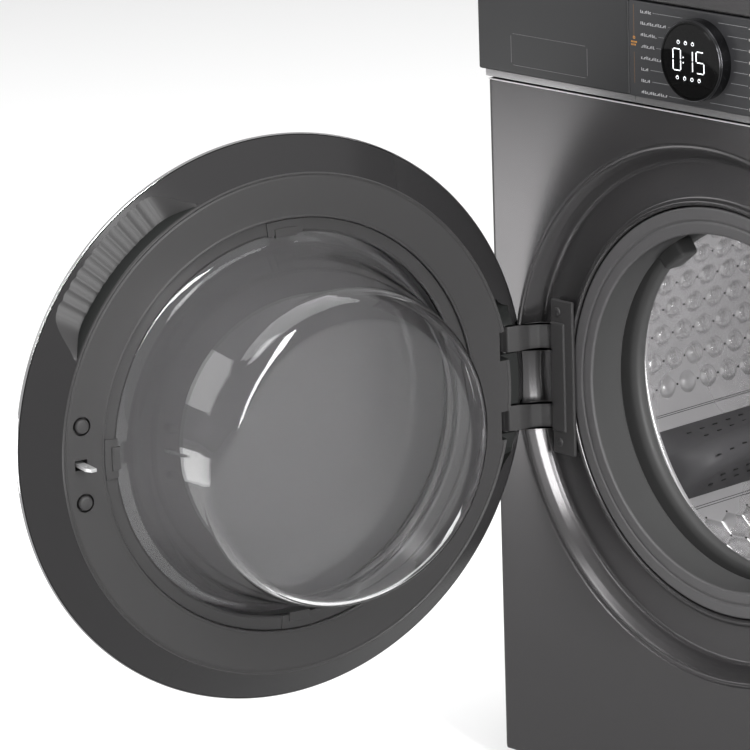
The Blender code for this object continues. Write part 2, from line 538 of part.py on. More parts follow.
# ------------------------------------------------------------------ washing unit
def washing_unit():
    bellows = [(0.2015, 0.0440), (0.2015, 0.0172), (0.1780, 0.0172), (GASKET_RADIUS, 0.0190),
               (GASKET_RADIUS, 0.0600),
               (0.1930, 0.0660), (0.1930, 0.0750), (0.1745, 0.0810), (0.1745, 0.0925), (0.1860, 0.0975),
               (0.2000, 0.0985), (0.2000, 0.0860)]
    turned("door_gasket", strip(bellows, 0.0022), collection=parts, look=RUBBER)

    front_path = [(0.2050, 0.0880), (0.2050, TUB_FRONT_DEPTH), (0.2500, TUB_FRONT_DEPTH + 0.004),
                  (TUB_RADIUS, 0.1270),
                  (TUB_RADIUS, TUB_JOINT_DEPTH - 0.0060), (0.2720, TUB_JOINT_DEPTH - 0.0060),
                  (0.2720, TUB_JOINT_DEPTH - GAP)]
    front_outline = front_path + [(TUB_RADIUS - TUB_WALL, TUB_JOINT_DEPTH - GAP),
                                  (TUB_RADIUS - TUB_WALL, 0.1300),
                                  (0.2480, 0.1200), (0.2015, 0.1155), (0.2015, 0.0880)]
    turned("tub_front", front_outline, collection=parts, look=RESIN)
    hub_end = 0.485
    rear_outline = [(0.2720, TUB_JOINT_DEPTH), (0.2720, TUB_JOINT_DEPTH + 0.006),
                    (TUB_RADIUS, TUB_JOINT_DEPTH + 0.006),
                    (TUB_RADIUS, 0.4360), (0.2550, TUB_REAR_DEPTH + TUB_WALL), (0.0440, TUB_REAR_DEPTH + TUB_WALL),
                    (0.0440, hub_end), (0.0315, hub_end), (0.0315, TUB_REAR_DEPTH), (0.2530, TUB_REAR_DEPTH),
                    (TUB_RADIUS - TUB_WALL, 0.4330), (TUB_RADIUS - TUB_WALL, TUB_JOINT_DEPTH)]
    tub_rear = turned("tub_rear", rear_outline, collection=parts, look=RESIN)
    sump = block("sump", (-0.085, y(0.300), AXIS_Z - 0.302), (0.085, y(0.430), AXIS_Z - 0.235))
    sump_room = block("sump_room", (-0.0815, y(0.3035), AXIS_Z - 0.2985), (0.0815, y(0.4265), AXIS_Z - 0.200))
    heart = rod("sump_clear", (0, AXIS_Z), TUB_RADIUS - TUB_WALL - 0.0001, y(0.2990), y(0.4315), steps=FINE)
    lugs = []
    for sign in (-1, 1):
        lugs.append(block(f"damper_lug_{sign}", (sign * 0.2 - 0.012, y(0.330), AXIS_Z - 0.190),
                          (sign * 0.2 + 0.012, y(0.360), AXIS_Z - 0.160)))
        lugs.append(block(f"spring_lug_{sign}", (sign * 0.252 - 0.020, y(0.330), AXIS_Z + 0.105),
                          (sign * 0.252 + 0.020, y(0.360), AXIS_Z + 0.118)))
    join(tub_rear, sump, *lugs)
    cut(tub_rear, sump_room, heart)
    cut(tub_rear, rod("sump_outlet", (0, y(0.365)), 0.0120, AXIS_Z - 0.330, AXIS_Z - 0.290, along="Z"))

    drum_path = [(0.2055, 0.1245), (0.2070, 0.1215), (0.2105, 0.1225), (0.2350, 0.1270),
                 (DRUM_RADIUS, 0.1380), (DRUM_RADIUS, 0.4140), (0.2350, DRUM_REAR_DEPTH), (0.0300, DRUM_REAR_DEPTH)]
    turned("drum", strip(drum_path, -0.0012), collection=parts, look=STEEL)
    for i, name in enumerate(("lifter_a", "lifter_b", "lifter_c")):
        middle = LIFTER_START + i * 2 * pi / 3
        base = DRUM_RADIUS - 0.0018
        half = 0.038
        outline = [(-half, -0.0035), (half, -0.0035), (half, 0.004), (0.010, 0.048), (-0.010, 0.048),
                   (-half, 0.004)]
        placed = []
        for a, b in outline:
            radial = base - b
            x = radial * cos(middle) - a * sin(middle)
            z = radial * sin(middle) + a * cos(middle)
            placed.append((x, AXIS_Z + z))
        lifter = plate(name, [placed], y(0.150), y(0.400), parts, DARK)
        trim = rod(name + "_trim", (0, AXIS_Z), base, y(0.14), y(0.41), steps=FINE)
        boolean(lifter, trim, "INTERSECT")

    spider_outline = []
    for i in range(3):
        middle = LIFTER_START + i * 2 * pi / 3
        spider_outline += [(0.225 * cos(middle - 0.06), AXIS_Z + 0.225 * sin(middle - 0.06)),
                           (0.225 * cos(middle + 0.06), AXIS_Z + 0.225 * sin(middle + 0.06)),
                           (0.036 * cos(middle + pi / 3), AXIS_Z + 0.036 * sin(middle + pi / 3))]
    spider = plate("drum_spider", [spider_outline], y(DRUM_REAR_DEPTH + 0.0015), y(DRUM_REAR_DEPTH + 0.0135),
                   parts, ((0.5, 0.5, 0.51), 0.45, 1.0))
    cut(spider, rod("spider_bore", (0, AXIS_Z), SHAFT_RADIUS + GAP, y(0.42), y(0.45), steps=SMALL))
    rod("drum_shaft", (0, AXIS_Z), SHAFT_RADIUS, y(0.4265), y(0.510), parts, STEEL)
    for name, low, high in (("bearing_front", 0.4470, 0.4610), ("bearing_rear", 0.4700, 0.4830)):
        ring = [(0.0312, low), (0.0312, high), (SHAFT_RADIUS + GAP, high), (SHAFT_RADIUS + GAP, low)]
        turned(name, ring, collection=parts, look=STEEL, steps=SMALL)

    groove = [(PULLEY_RADIUS, PULLEY_DEPTH), (PULLEY_RADIUS, PULLEY_DEPTH + PULLEY_WIDTH),
              (PULLEY_RADIUS - 0.010, PULLEY_DEPTH + PULLEY_WIDTH), (PULLEY_RADIUS - 0.010, PULLEY_DEPTH + 0.008),
              (0.022, PULLEY_DEPTH + 0.008), (0.022, PULLEY_DEPTH + 0.014), (SHAFT_RADIUS + GAP, PULLEY_DEPTH + 0.014),
              (SHAFT_RADIUS + GAP, PULLEY_DEPTH), (0.022, PULLEY_DEPTH), (0.022, PULLEY_DEPTH + 0.004),
              (PULLEY_RADIUS - 0.010, PULLEY_DEPTH + 0.004), (PULLEY_RADIUS - 0.010, PULLEY_DEPTH)]
    pulley = turned("drum_pulley", groove, collection=parts, look=((0.5, 0.5, 0.51), 0.45, 1.0), steps=COARSE)
    for i in range(5):
        middle = i * 2 * pi / 5 + 0.3
        cut(pulley, sector(f"pulley_window_{i}", 0.036, 0.112, 0.490, 0.510, middle - 0.42, middle + 0.42, 6))

    distance = (MOTOR_X**2 + MOTOR_Z**2) ** 0.5
    heading = atan2(MOTOR_Z, MOTOR_X)
    loops = []
    for grow in (GAP + BELT_THICKNESS, GAP):
        big, small = PULLEY_RADIUS + grow, MOTOR_PULLEY_RADIUS + grow
        lean = acos((big - small) / distance)
        loops.append(arc(big, heading + lean, heading + 2 * pi - lean, 40, (0, AXIS_Z))
                     + arc(small, heading - lean, heading + lean, 10, (MOTOR_X, AXIS_Z + MOTOR_Z)))
    plate("drive_belt", loops, y(PULLEY_DEPTH + 0.001), y(PULLEY_DEPTH + PULLEY_WIDTH - 0.001), parts, RUBBER)
    motor_at = (MOTOR_X, AXIS_Z + MOTOR_Z)
    case = [(0.045, 0.310), (0.045, 0.440), (0.030, 0.450), (0.0085, 0.450), (0.0085, 0.400), (0, 0.400),
            (0, 0.310)]
    turned("motor", case, 0, motor_at, parts, ((0.3, 0.3, 0.31), 0.5, 0.8), steps=COARSE)
    spindle = [(0, 0.4005), (0.0080, 0.4005), (0.0080, PULLEY_DEPTH), (MOTOR_PULLEY_RADIUS, PULLEY_DEPTH),
               (MOTOR_PULLEY_RADIUS, PULLEY_DEPTH + PULLEY_WIDTH), (0, PULLEY_DEPTH + PULLEY_WIDTH)]
    turned("motor_pulley", spindle, 0, motor_at, parts, STEEL, steps=SMALL)

    upper = block("counterweight_upper", (-0.150, y(0.280), AXIS_Z + 0.190),
                  (0.150, y(0.400), AXIS_Z + 0.325), parts, CONCRETE)
    cut(upper, rod("upper_saddle", (0, AXIS_Z), TUB_RADIUS + 0.0015, y(0.20), y(0.45), steps=FINE))
    sector("counterweight_front", 0.2080, 0.2620, 0.0620, TUB_FRONT_DEPTH - 0.001, radians(200), radians(340),
           24,
           collection=parts, look=CONCRETE)
    heater_route = [(-0.060, y(0.4500), AXIS_Z - 0.272), (-0.060, y(0.3300), AXIS_Z - 0.272),
                    (-0.050, y(0.3180), AXIS_Z - 0.272),
                    (0.050, y(0.3180), AXIS_Z - 0.272), (0.060, y(0.3300), AXIS_Z - 0.272), (0.060, y(0.4500), AXIS_Z - 0.272)]
    tube("heater", heater_route, 0.0040, parts, STEEL, 1)
    for x in (-0.060, 0.060):
        cut(tub_rear, rod(f"heater_hole_{x}", (x, AXIS_Z - 0.272), 0.0046, y(0.41), y(0.46), steps=16))

    for side, sign in (("left", -1), ("right", 1)):
        turns, radius, foot_z, top_z = 8, 0.0085, AXIS_Z + 0.122, 0.800
        count = turns * 8
        coil = [(sign * 0.262 + radius * cos(2 * pi * i / 8), y(0.345) + radius * sin(2 * pi * i / 8),
                 foot_z + (top_z - foot_z) * i / count) for i in range(count + 1)]
        tube(f"spring_{side}", coil, 0.0018, parts, STEEL, 0)
        damper = [(0, 0.004), (0.014, 0.004), (0.014, 0.120), (0.006, 0.120), (0.006, 0.2172), (0, 0.2172)]
        turned(f"damper_{side}", damper, y(0.345), (sign * 0.2, 0), parts, DARK, "Z", SMALL)

    hose_top, hose_low = 0.7155, AXIS_Z + 0.2130
    ring = [(0.0125, hose_top), (0.0125, hose_low), (0.0095, hose_low), (0.0095, hose_top)]
    turned("dispenser_hose", ring, -0.060, (-0.170, 0), parts, RUBBER, "Z", SMALL)
    bend = [(0, y(0.365), AXIS_Z - 0.3025), (0, y(0.365), 0.085), (0.004, y(0.360), 0.066),
            (0.016, y(0.345), 0.051),
            (0.050, y(0.300), 0.045), (0.110, y(0.240), 0.045), (0.165, y(0.195), 0.052), (0.192, y(0.180), 0.060),
            (0.1995, y(0.173), 0.062), (0.1995, y(0.1610), 0.062)]
    tube("sump_hose", bend, 0.0110, parts, RUBBER, 1)



cabinet()
front()
controls()
door()
hinge_bracket()
washing_unit()
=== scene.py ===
"""The looks of a front load washing machine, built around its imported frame.

Metres, +Z up, the front faces -Y. Depths are counted from the front panel's plane towards the back, and
heights on the door from the plane of its outline towards the drum.
"""

from __future__ import annotations

import json
import logging
import math
from collections.abc import Callable, Iterable, Sequence
from dataclasses import dataclass, field
from enum import Enum

import bmesh
import bpy
from mathutils import Matrix, Vector

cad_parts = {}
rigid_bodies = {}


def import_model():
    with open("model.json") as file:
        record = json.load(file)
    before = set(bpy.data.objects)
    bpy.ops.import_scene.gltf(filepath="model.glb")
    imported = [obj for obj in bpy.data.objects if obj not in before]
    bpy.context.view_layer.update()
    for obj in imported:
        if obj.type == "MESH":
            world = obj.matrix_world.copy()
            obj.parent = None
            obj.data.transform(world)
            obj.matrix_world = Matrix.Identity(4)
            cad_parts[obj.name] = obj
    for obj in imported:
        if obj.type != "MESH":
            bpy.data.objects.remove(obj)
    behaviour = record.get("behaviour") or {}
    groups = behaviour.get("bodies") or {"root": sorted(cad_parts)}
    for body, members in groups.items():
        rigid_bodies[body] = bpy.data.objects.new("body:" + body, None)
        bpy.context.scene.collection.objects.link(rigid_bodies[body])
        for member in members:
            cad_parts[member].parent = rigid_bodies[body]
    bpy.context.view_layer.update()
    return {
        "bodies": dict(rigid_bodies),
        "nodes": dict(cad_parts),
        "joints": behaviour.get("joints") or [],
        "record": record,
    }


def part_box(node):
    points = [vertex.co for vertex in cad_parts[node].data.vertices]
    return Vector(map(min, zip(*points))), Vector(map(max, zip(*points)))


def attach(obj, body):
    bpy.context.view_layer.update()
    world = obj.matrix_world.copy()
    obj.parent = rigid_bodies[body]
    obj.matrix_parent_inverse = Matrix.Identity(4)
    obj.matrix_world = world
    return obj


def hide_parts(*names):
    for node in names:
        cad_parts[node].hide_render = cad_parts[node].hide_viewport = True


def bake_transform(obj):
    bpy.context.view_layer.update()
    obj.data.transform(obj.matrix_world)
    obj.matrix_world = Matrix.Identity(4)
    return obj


LOG = logging.getLogger("washing_machine")
SMOOTH_ANGLE = math.radians(32)
FINE_STEPS, MEDIUM_STEPS, SMALL_STEPS = 256, 96, 32

Point2 = tuple[float, float]
Point3 = tuple[float, float, float]
Colour = tuple[float, float, float]


# ---------------------------------------------------------------- finishes
class Surface(Enum):
    """How light meets a finish."""

    OPAQUE = "opaque"
    CLEAR = "clear"
    TINTED = "tinted"
    LIT = "lit"


@dataclass(frozen=True)
class Finish:
    """One finish: its colour, its gloss and the fine grain on it."""

    name: str
    colour: Colour
    roughness: float = 0.5
    metallic: float = 0.0
    surface: Surface = Surface.OPAQUE
    grain: float = 0.0
    grain_size: float = 0.0012
    wear: float = 0.0

    def material(self) -> bpy.types.Material:
        """Builds the material once and gives the same one each time.

        Returns:
            The material of this finish.
        """
        name = f"{self.name}_finish"
        if name in bpy.data.materials:
            return bpy.data.materials[name]
        material = bpy.data.materials.new(name)
        material.use_nodes = True
        nodes, links = material.node_tree.nodes, material.node_tree.links
        shader = nodes["Principled BSDF"]
        shader.inputs["Base Color"].default_value = (*self.colour, 1)
        shader.inputs["Roughness"].default_value = self.roughness
        shader.inputs["Metallic"].default_value = self.metallic
        if self.surface is Surface.CLEAR:
            shader.inputs["Transmission Weight"].default_value = 1.0
            shader.inputs["IOR"].default_value = 1.45
            shader.inputs["Specular IOR Level"].default_value = 0.4
        if self.surface is Surface.TINTED:
            shader.inputs["Alpha"].default_value = 0.90
        if self.surface is Surface.LIT:
            shader.inputs["Emission Color"].default_value = (*self.colour, 1)
            shader.inputs["Emission Strength"].default_value = 1.0
        if self.grain or self.wear:
            place = nodes.new("ShaderNodeTexCoord").outputs["Object"]
        if self.grain:
            noise = nodes.new("ShaderNodeTexNoise")
            noise.inputs["Scale"].default_value = 1 / self.grain_size
            noise.inputs["Detail"].default_value = 2
            bump = nodes.new("ShaderNodeBump")
            bump.inputs["Strength"].default_value = self.grain
            bump.inputs["Distance"].default_value = self.grain_size * 0.2
            links.new(place, noise.inputs["Vector"])
            links.new(noise.outputs["Fac"], bump.inputs["Height"])
            links.new(bump.outputs["Normal"], shader.inputs["Normal"])
        if self.wear:
            cloud = nodes.new("ShaderNodeTexNoise")
            cloud.inputs["Scale"].default_value = 9
            spread = nodes.new("ShaderNodeMapRange")
            spread.inputs["To Min"].default_value = self.roughness - self.wear
            spread.inputs["To Max"].default_value = self.roughness + self.wear
            links.new(place, cloud.inputs["Vector"])
            links.new(cloud.outputs["Fac"], spread.inputs["Value"])
            links.new(spread.outputs["Result"], shader.inputs["Roughness"])
        return material


PAINT = Finish("silver_grey_paint", (0.112, 0.109, 0.111), 0.26, 0.80, grain=0.08, grain_size=0.0008, wear=0.02)
# painted reflection: the strip under the fascia is coloured lighter than the paint, in place of its reflection
# of the floor
STRIP_REFLECTION = Finish("satin_strip", (0.30, 0.295, 0.30), 0.26, 0.6, wear=0.02)
# painted highlight: a pale colour for the thin light line along the front panel's top edge
TOP_EDGE_HIGHLIGHT = Finish("bright_edge", (0.60, 0.59, 0.60), 0.3, 0.2)
FASCIA = Finish("fascia_plastic", (0.026, 0.026, 0.028), 0.40, grain=0.05, wear=0.02)
DRAWER = Finish("drawer_plastic", (0.017, 0.017, 0.018), 0.42, grain=0.05, wear=0.02)
DOOR = Finish("door_plastic", (0.036, 0.035, 0.0355), 0.42, grain=0.08, grain_size=0.0010, wear=0.02)
RIM = Finish("door_rim_gloss", (0.040, 0.039, 0.040), 0.22, 0.45, wear=0.02)
# painted shade: near-black for the door's pocket walls and the hinge pocket's floor
POCKET_SHADE = Finish("dark_pit", (0.012, 0.013, 0.0125), 0.6)
# near-black: the dark fold lines of the drum's joints, and painted shade for the drum's holes and the lifters'
# drain slots, which are flat marks in place of openings
JOINT_AND_HOLE_SHADE = Finish("groove_dark", (0.006, 0.006, 0.006), 0.5)
# painted highlight: a pale colour for the light lines along the drawer's sunk outline
OUTLINE_HIGHLIGHT = Finish("worn_edge", (0.16, 0.155, 0.16), 0.35, 0.2)
BLACK = Finish("black_lens", (0.002, 0.002, 0.002), 0.03)
MASK = Finish("window_mask", (0.010, 0.010, 0.011), 0.25)
SMOKED = Finish("smoked_glass", (0.068, 0.065, 0.068), 0.12, surface=Surface.TINTED)
CLEAR = Finish("clear_glass", (0.96, 0.96, 0.965), 0.0, surface=Surface.CLEAR)
CHROME = Finish("chrome", (0.80, 0.80, 0.81), 0.07, 1.0)
DIAL_METAL = Finish("dial_metal", (0.10, 0.10, 0.105), 0.20, 1.0, wear=0.02)
STEEL = Finish("drum_steel", (0.66, 0.65, 0.66), 0.27, 0.80, grain=0.03, grain_size=0.0006, wear=0.03)
BARE_STEEL = Finish("bare_steel", (0.52, 0.52, 0.53), 0.32, 1.0, wear=0.05)
ZINC = Finish("zinc_sheet", (0.45, 0.46, 0.47), 0.42, 0.9, grain=0.06, grain_size=0.004, wear=0.06)
CAST = Finish("cast_aluminium", (0.45, 0.45, 0.46), 0.5, 0.9, grain=0.25, grain_size=0.0010)
RUBBER = Finish("gasket_rubber", (0.030, 0.030, 0.030), 0.50, grain=0.10, grain_size=0.0010, wear=0.03)
# painted light: a lighter copy of the gasket rubber for its front-facing lip
LIP_PAINTED_LIGHT = Finish("gasket_lip", (0.075, 0.073, 0.075), 0.46, grain=0.05, wear=0.02)
BLACK_RUBBER = Finish("black_rubber", (0.018, 0.018, 0.018), 0.7, grain=0.15, grain_size=0.0010)
LIFTER = Finish("lifter_plastic", (0.040, 0.039, 0.041), 0.42, grain=0.06, wear=0.02)
RESIN = Finish("grey_resin", (0.42, 0.42, 0.41), 0.6, grain=0.12, grain_size=0.0015)
WHITE_RESIN = Finish("white_resin", (0.72, 0.72, 0.70), 0.45, grain=0.04)
CONCRETE = Finish("concrete", (0.36, 0.355, 0.34), 0.95, grain=0.6, grain_size=0.0040)
BOARD = Finish("board_green", (0.015, 0.10, 0.04), 0.45)
PRINT = Finish("white_print", (0.50, 0.50, 0.51), 0.5)
FAINT = Finish("faint_print", (0.24, 0.24, 0.245), 0.5)
ORANGE = Finish("orange_print", (0.55, 0.24, 0.03), 0.5)
AMBER = Finish("amber_line", (0.16, 0.085, 0.03), 0.5)
GLOW = Finish("display_glow", (0.95, 0.97, 1.0), 0.5, surface=Surface.LIT)
LATCH_STEEL = Finish("latch_steel", (0.55, 0.55, 0.55), 0.35, 0.6)


# ---------------------------------------------------------------- outlines
def fillet(points: Sequence[Point2], radius: float, steps: int = 4, closed: bool = True) -> list[Point2]:
    """Rounds the corners of an outline.

    Args:
        points: the outline's corners.
        radius: how far before and after each corner the curve runs.
        steps: segments for each corner.
        closed: whether the last point joins the first.

    Returns:
        The outline with a short curve at each corner.
    """
    count = len(points)
    rounded: list[Point2] = []
    for i, point in enumerate(points):
        at_axis = abs(point[0]) < 1e-9
        if (not closed and i in (0, count - 1)) or at_axis:
            rounded.append(point)
            continue
        corner = Vector(point)
        before, after = Vector(points[i - 1]) - corner, Vector(points[(i + 1) % count]) - corner
        reach = min(radius, before.length * 0.45, after.length * 0.45)
        start, end = corner + before.normalized() * reach, corner + after.normalized() * reach
        for k in range(steps + 1):
            t = k / steps
            at = start * (1 - t) ** 2 + corner * (2 * t * (1 - t)) + end * t**2
            rounded.append((at.x, at.y))
    return rounded


def sheet(path: Sequence[Point2], thickness: float, bend: float = 0.0) -> list[Point2]:
    """The closed outline of a bent sheet.

    Args:
        path: the visible side.
        thickness: how far the other side lies to the right of the path.
        bend: rounding of the path's corners.

    Returns:
        The path, and back along its other side.
    """
    smooth = fillet(path, bend, closed=False) if bend else list(path)
    moved = []
    for i, point in enumerate(smooth):
        ways = []
        for j in (i - 1, i):
            if 0 <= j < len(smooth) - 1:
                step = Vector(smooth[j + 1]) - Vector(smooth[j])
                if step.length > 1e-9:
                    ways.append(Vector((step.y, -step.x)).normalized())
        normal = sum(ways, Vector((0.0, 0.0))).normalized()
        shift = normal * (thickness / max(normal.dot(ways[0]), 0.6))
        across = point[0] + shift.x
        moved.append((max(across, 0.0) if point[0] >= 0 else across, point[1] + shift.y))
    return smooth + moved[::-1]


def circle(radius: float, steps: int, start: float = 0.0, end: float = 2 * math.pi,
           centre: Point2 = (0, 0)) -> list[Point2]:
    """Points on a circle, without the end point of a full turn.

    Args:
        radius: the circle's radius.
        steps: segments.
        start: the first angle.
        end: the last angle.
        centre: the circle's middle.

    Returns:
        The points in order.
    """
    full = abs(end - start - 2 * math.pi) < 1e-9
    count = steps if full else steps + 1
    return [
        (centre[0] + radius * math.cos(start + (end - start) * i / steps),
         centre[1] + radius * math.sin(start + (end - start) * i / steps))
        for i in range(count)
    ]


# ---------------------------------------------------------------- meshes
def new_object(name: str, work: bmesh.types.BMesh) -> bpy.types.Object:
    """Makes an object of a finished bmesh, with doubles merged and faces turned outwards.

    Args:
        name: the object's name.
        work: the bmesh, which is freed.

    Returns:
        The new object, in the scene.
    """
    bmesh.ops.remove_doubles(work, verts=work.verts, dist=1e-6)
    bmesh.ops.recalc_face_normals(work, faces=work.faces)
    mesh = bpy.data.meshes.new(name)
    work.to_mesh(mesh)
    work.free()
    obj = bpy.data.objects.new(name, mesh)
    bpy.context.scene.collection.objects.link(obj)
    return obj


def loft(name: str, loops: Sequence[Sequence[Point3]], ends: bool = True) -> bpy.types.Object:
    """A surface through loops of points.

    Args:
        name: the object's name.
        loops: rows with the same number of points.
        ends: whether the first and last rows are filled.

    Returns:
        The new object.
    """
    work = bmesh.new()
    rows = [[work.verts.new(p) for p in loop] for loop in loops]
    count = len(rows[0])
    for first, second in zip(rows, rows[1:]):
        for i in range(count):
            j = (i + 1) % count
            work.faces.new([first[i], first[j], second[j], second[i]])
    if ends:
        work.faces.new(rows[0])
        work.faces.new(rows[-1])
    return new_object(name, work)


def lathe(name: str, outline: Sequence[Point2], origin: Point3, steps: int = FINE_STEPS,
          along: Point3 = (0, 1, 0)) -> bpy.types.Object:
    """A turned solid from a closed outline of (radius, distance along the axis).

    Args:
        name: the object's name.
        outline: the closed outline. Points at radius 0 lie on the axis.
        origin: where the distance along the axis is zero.
        steps: segments around.
        along: the axis.

    Returns:
        The new object.
    """
    work = bmesh.new()
    axis = Vector(along).normalized()
    side = Vector((1, 0, 0)) if abs(axis.x) < 0.9 else Vector((0, 0, 1))
    other = axis.cross(side)
    rows = []
    for radius, reach in outline:
        middle = Vector(origin) + axis * reach
        if radius < 1e-7:
            rows.append([work.verts.new(middle)])
            continue
        rows.append([work.verts.new(middle + (side * c + other * s)) for c, s in circle(radius, steps)])
    for first, second in zip(rows, rows[1:] + rows[:1]):
        if len(first) == len(second) == 1:
            continue
        for i in range(steps):
            j = (i + 1) % steps
            corners = [first[i % len(first)], first[j % len(first)], second[j % len(second)],
                       second[i % len(second)]]
            unique = list(dict.fromkeys(corners))
            work.faces.new(unique)
    return new_object(name, work)


def slab(name: str, low: Point3, high: Point3, radius: float = 0.0, steps: int = 3) -> bpy.types.Object:
    """A box between two corners with rounded edges.

    Args:
        name: the object's name.
        low: its lowest corner.
        high: its highest corner.
        radius: rounding of its edges.
        steps: segments of the rounding.

    Returns:
        The new object.
    """
    work = bmesh.new()
    bmesh.ops.create_cube(work, size=1)
    bmesh.ops.scale(work, vec=[b - a for a, b in zip(low, high)], verts=work.verts)
    bmesh.ops.translate(work, vec=[(a + b) / 2 for a, b in zip(low, high)], verts=work.verts)
    if radius:
        bmesh.ops.bevel(work, geom=work.edges[:], offset=radius, segments=steps, profile=0.5, affect="EDGES")
    return new_object(name, work)


def prism(name: str, outline: Sequence[Point2], low: float, high: float,
          place: Callable[[float, float, float], Point3], radius: float = 0.0) -> bpy.types.Object:
    """A flat outline given a thickness.

    Args:
        name: the object's name.
        outline: the outline in its own plane.
        low: one face's distance.
        high: the other face's distance.
        place: turns (a, b, distance) into a point.
        radius: rounding of the edges of both faces.

    Returns:
        The new object.
    """
    work = bmesh.new()
    caps = [[work.verts.new(place(a, b, at)) for a, b in outline] for at in (low, high)]
    for cap in caps:
        work.faces.new(cap)
    rims = [e for f in work.faces for e in f.edges]
    for i in range(len(outline)):
        j = (i + 1) % len(outline)
        work.faces.new([caps[0][i], caps[0][j], caps[1][j], caps[1][i]])
    bmesh.ops.recalc_face_normals(work, faces=work.faces)
    if radius:
        bmesh.ops.bevel(work, geom=rims, offset=radius, segments=2, profile=0.5, affect="EDGES")
    return new_object(name, work)


def evaluated(obj: bpy.types.Object) -> None:
    """Turns an object's modifiers into its plain mesh.

    Args:
        obj: the object, which is left with no modifiers.
    """
    graph = bpy.context.evaluated_depsgraph_get()
    mesh = bpy.data.meshes.new_from_object(obj.evaluated_get(graph))
    obj.modifiers.clear()
    obj.data = mesh


def combine(obj: bpy.types.Object, others: Iterable[bpy.types.Object], operation: str) -> bpy.types.Object:
    """Cuts or joins an object with others, which are then removed.

    Args:
        obj: the object to change.
        others: the solids to cut or join it with.
        operation: DIFFERENCE or UNION.

    Returns:
        The changed object.
    """
    gone = list(others)
    for other in gone:
        modifier = obj.modifiers.new(operation, "BOOLEAN")
        modifier.operation = operation
        modifier.object = other
    evaluated(obj)
    for other in gone:
        bpy.data.objects.remove(other)
    return obj


def merged(name: str, pieces: Sequence[bpy.types.Object]) -> bpy.types.Object:
    """Puts several meshes, with their materials, into one object.

    Args:
        name: the new object's name.
        pieces: the objects, which are removed.

    Returns:
        The new object.
    """
    work = bmesh.new()
    mesh = bpy.data.meshes.new(name)
    for piece in pieces:
        slots = []
        for material in piece.data.materials:
            if material.name not in mesh.materials:
                mesh.materials.append(material)
            slots.append(mesh.materials.find(material.name))
        first = len(work.faces)
        work.from_mesh(piece.data)
        work.faces.ensure_lookup_table()
        for face in work.faces[first:]:
            face.material_index = slots[face.material_index] if slots else 0
        bpy.data.objects.remove(piece)
    work.to_mesh(mesh)
    work.free()
    obj = bpy.data.objects.new(name, mesh)
    bpy.context.scene.collection.objects.link(obj)
    return obj


def coated(obj: bpy.types.Object, finish: Finish) -> bpy.types.Object:
    """Gives a whole mesh one finish and smooth shading between its sharp edges.

    Args:
        obj: the object.
        finish: what it is made of.

    Returns:
        The same object.
    """
    obj.data.materials.clear()
    obj.data.materials.append(finish.material())
    obj.data.shade_smooth()
    obj.data.set_sharp_from_angle(angle=SMOOTH_ANGLE)
    return obj


def hand_over(obj: bpy.types.Object, body: str, slot: str, *nodes: str) -> bpy.types.Object:
    """Hands a finished piece to the frame, after its large faces have set its shading.

    Args:
        obj: the piece.
        body: the body that it rides on.
        slot: its material slot; not used.
        nodes: the nodes that it stands for.

    Returns:
        The same piece.
    """
    steady = obj.modifiers.new("steady_shading", "WEIGHTED_NORMAL")
    steady.keep_sharp = True
    evaluated(obj)
    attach(obj, body)
    if nodes:
        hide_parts(*nodes)
    LOG.info("%s: %d faces on %s, for %s", obj.name, len(obj.data.polygons), body, ", ".join(nodes) or "detail")
    return obj


# ---------------------------------------------------------------- repeats
@dataclass
class Spot:
    """A place for one copy of a repeated shape: its point, the way its Z points, and the way its X points."""

    at: Point3
    out: Point3
    along: Point3

    def turn(self) -> Vector:
        """The angles that set the shape up.

        Returns:
            Euler angles, in radians.
        """
        z = Vector(self.out).normalized()
        x = (Vector(self.along) - z * Vector(self.along).dot(z)).normalized()
        columns = Matrix((x, z.cross(x), z)).transposed()
        return Vector(columns.to_euler())


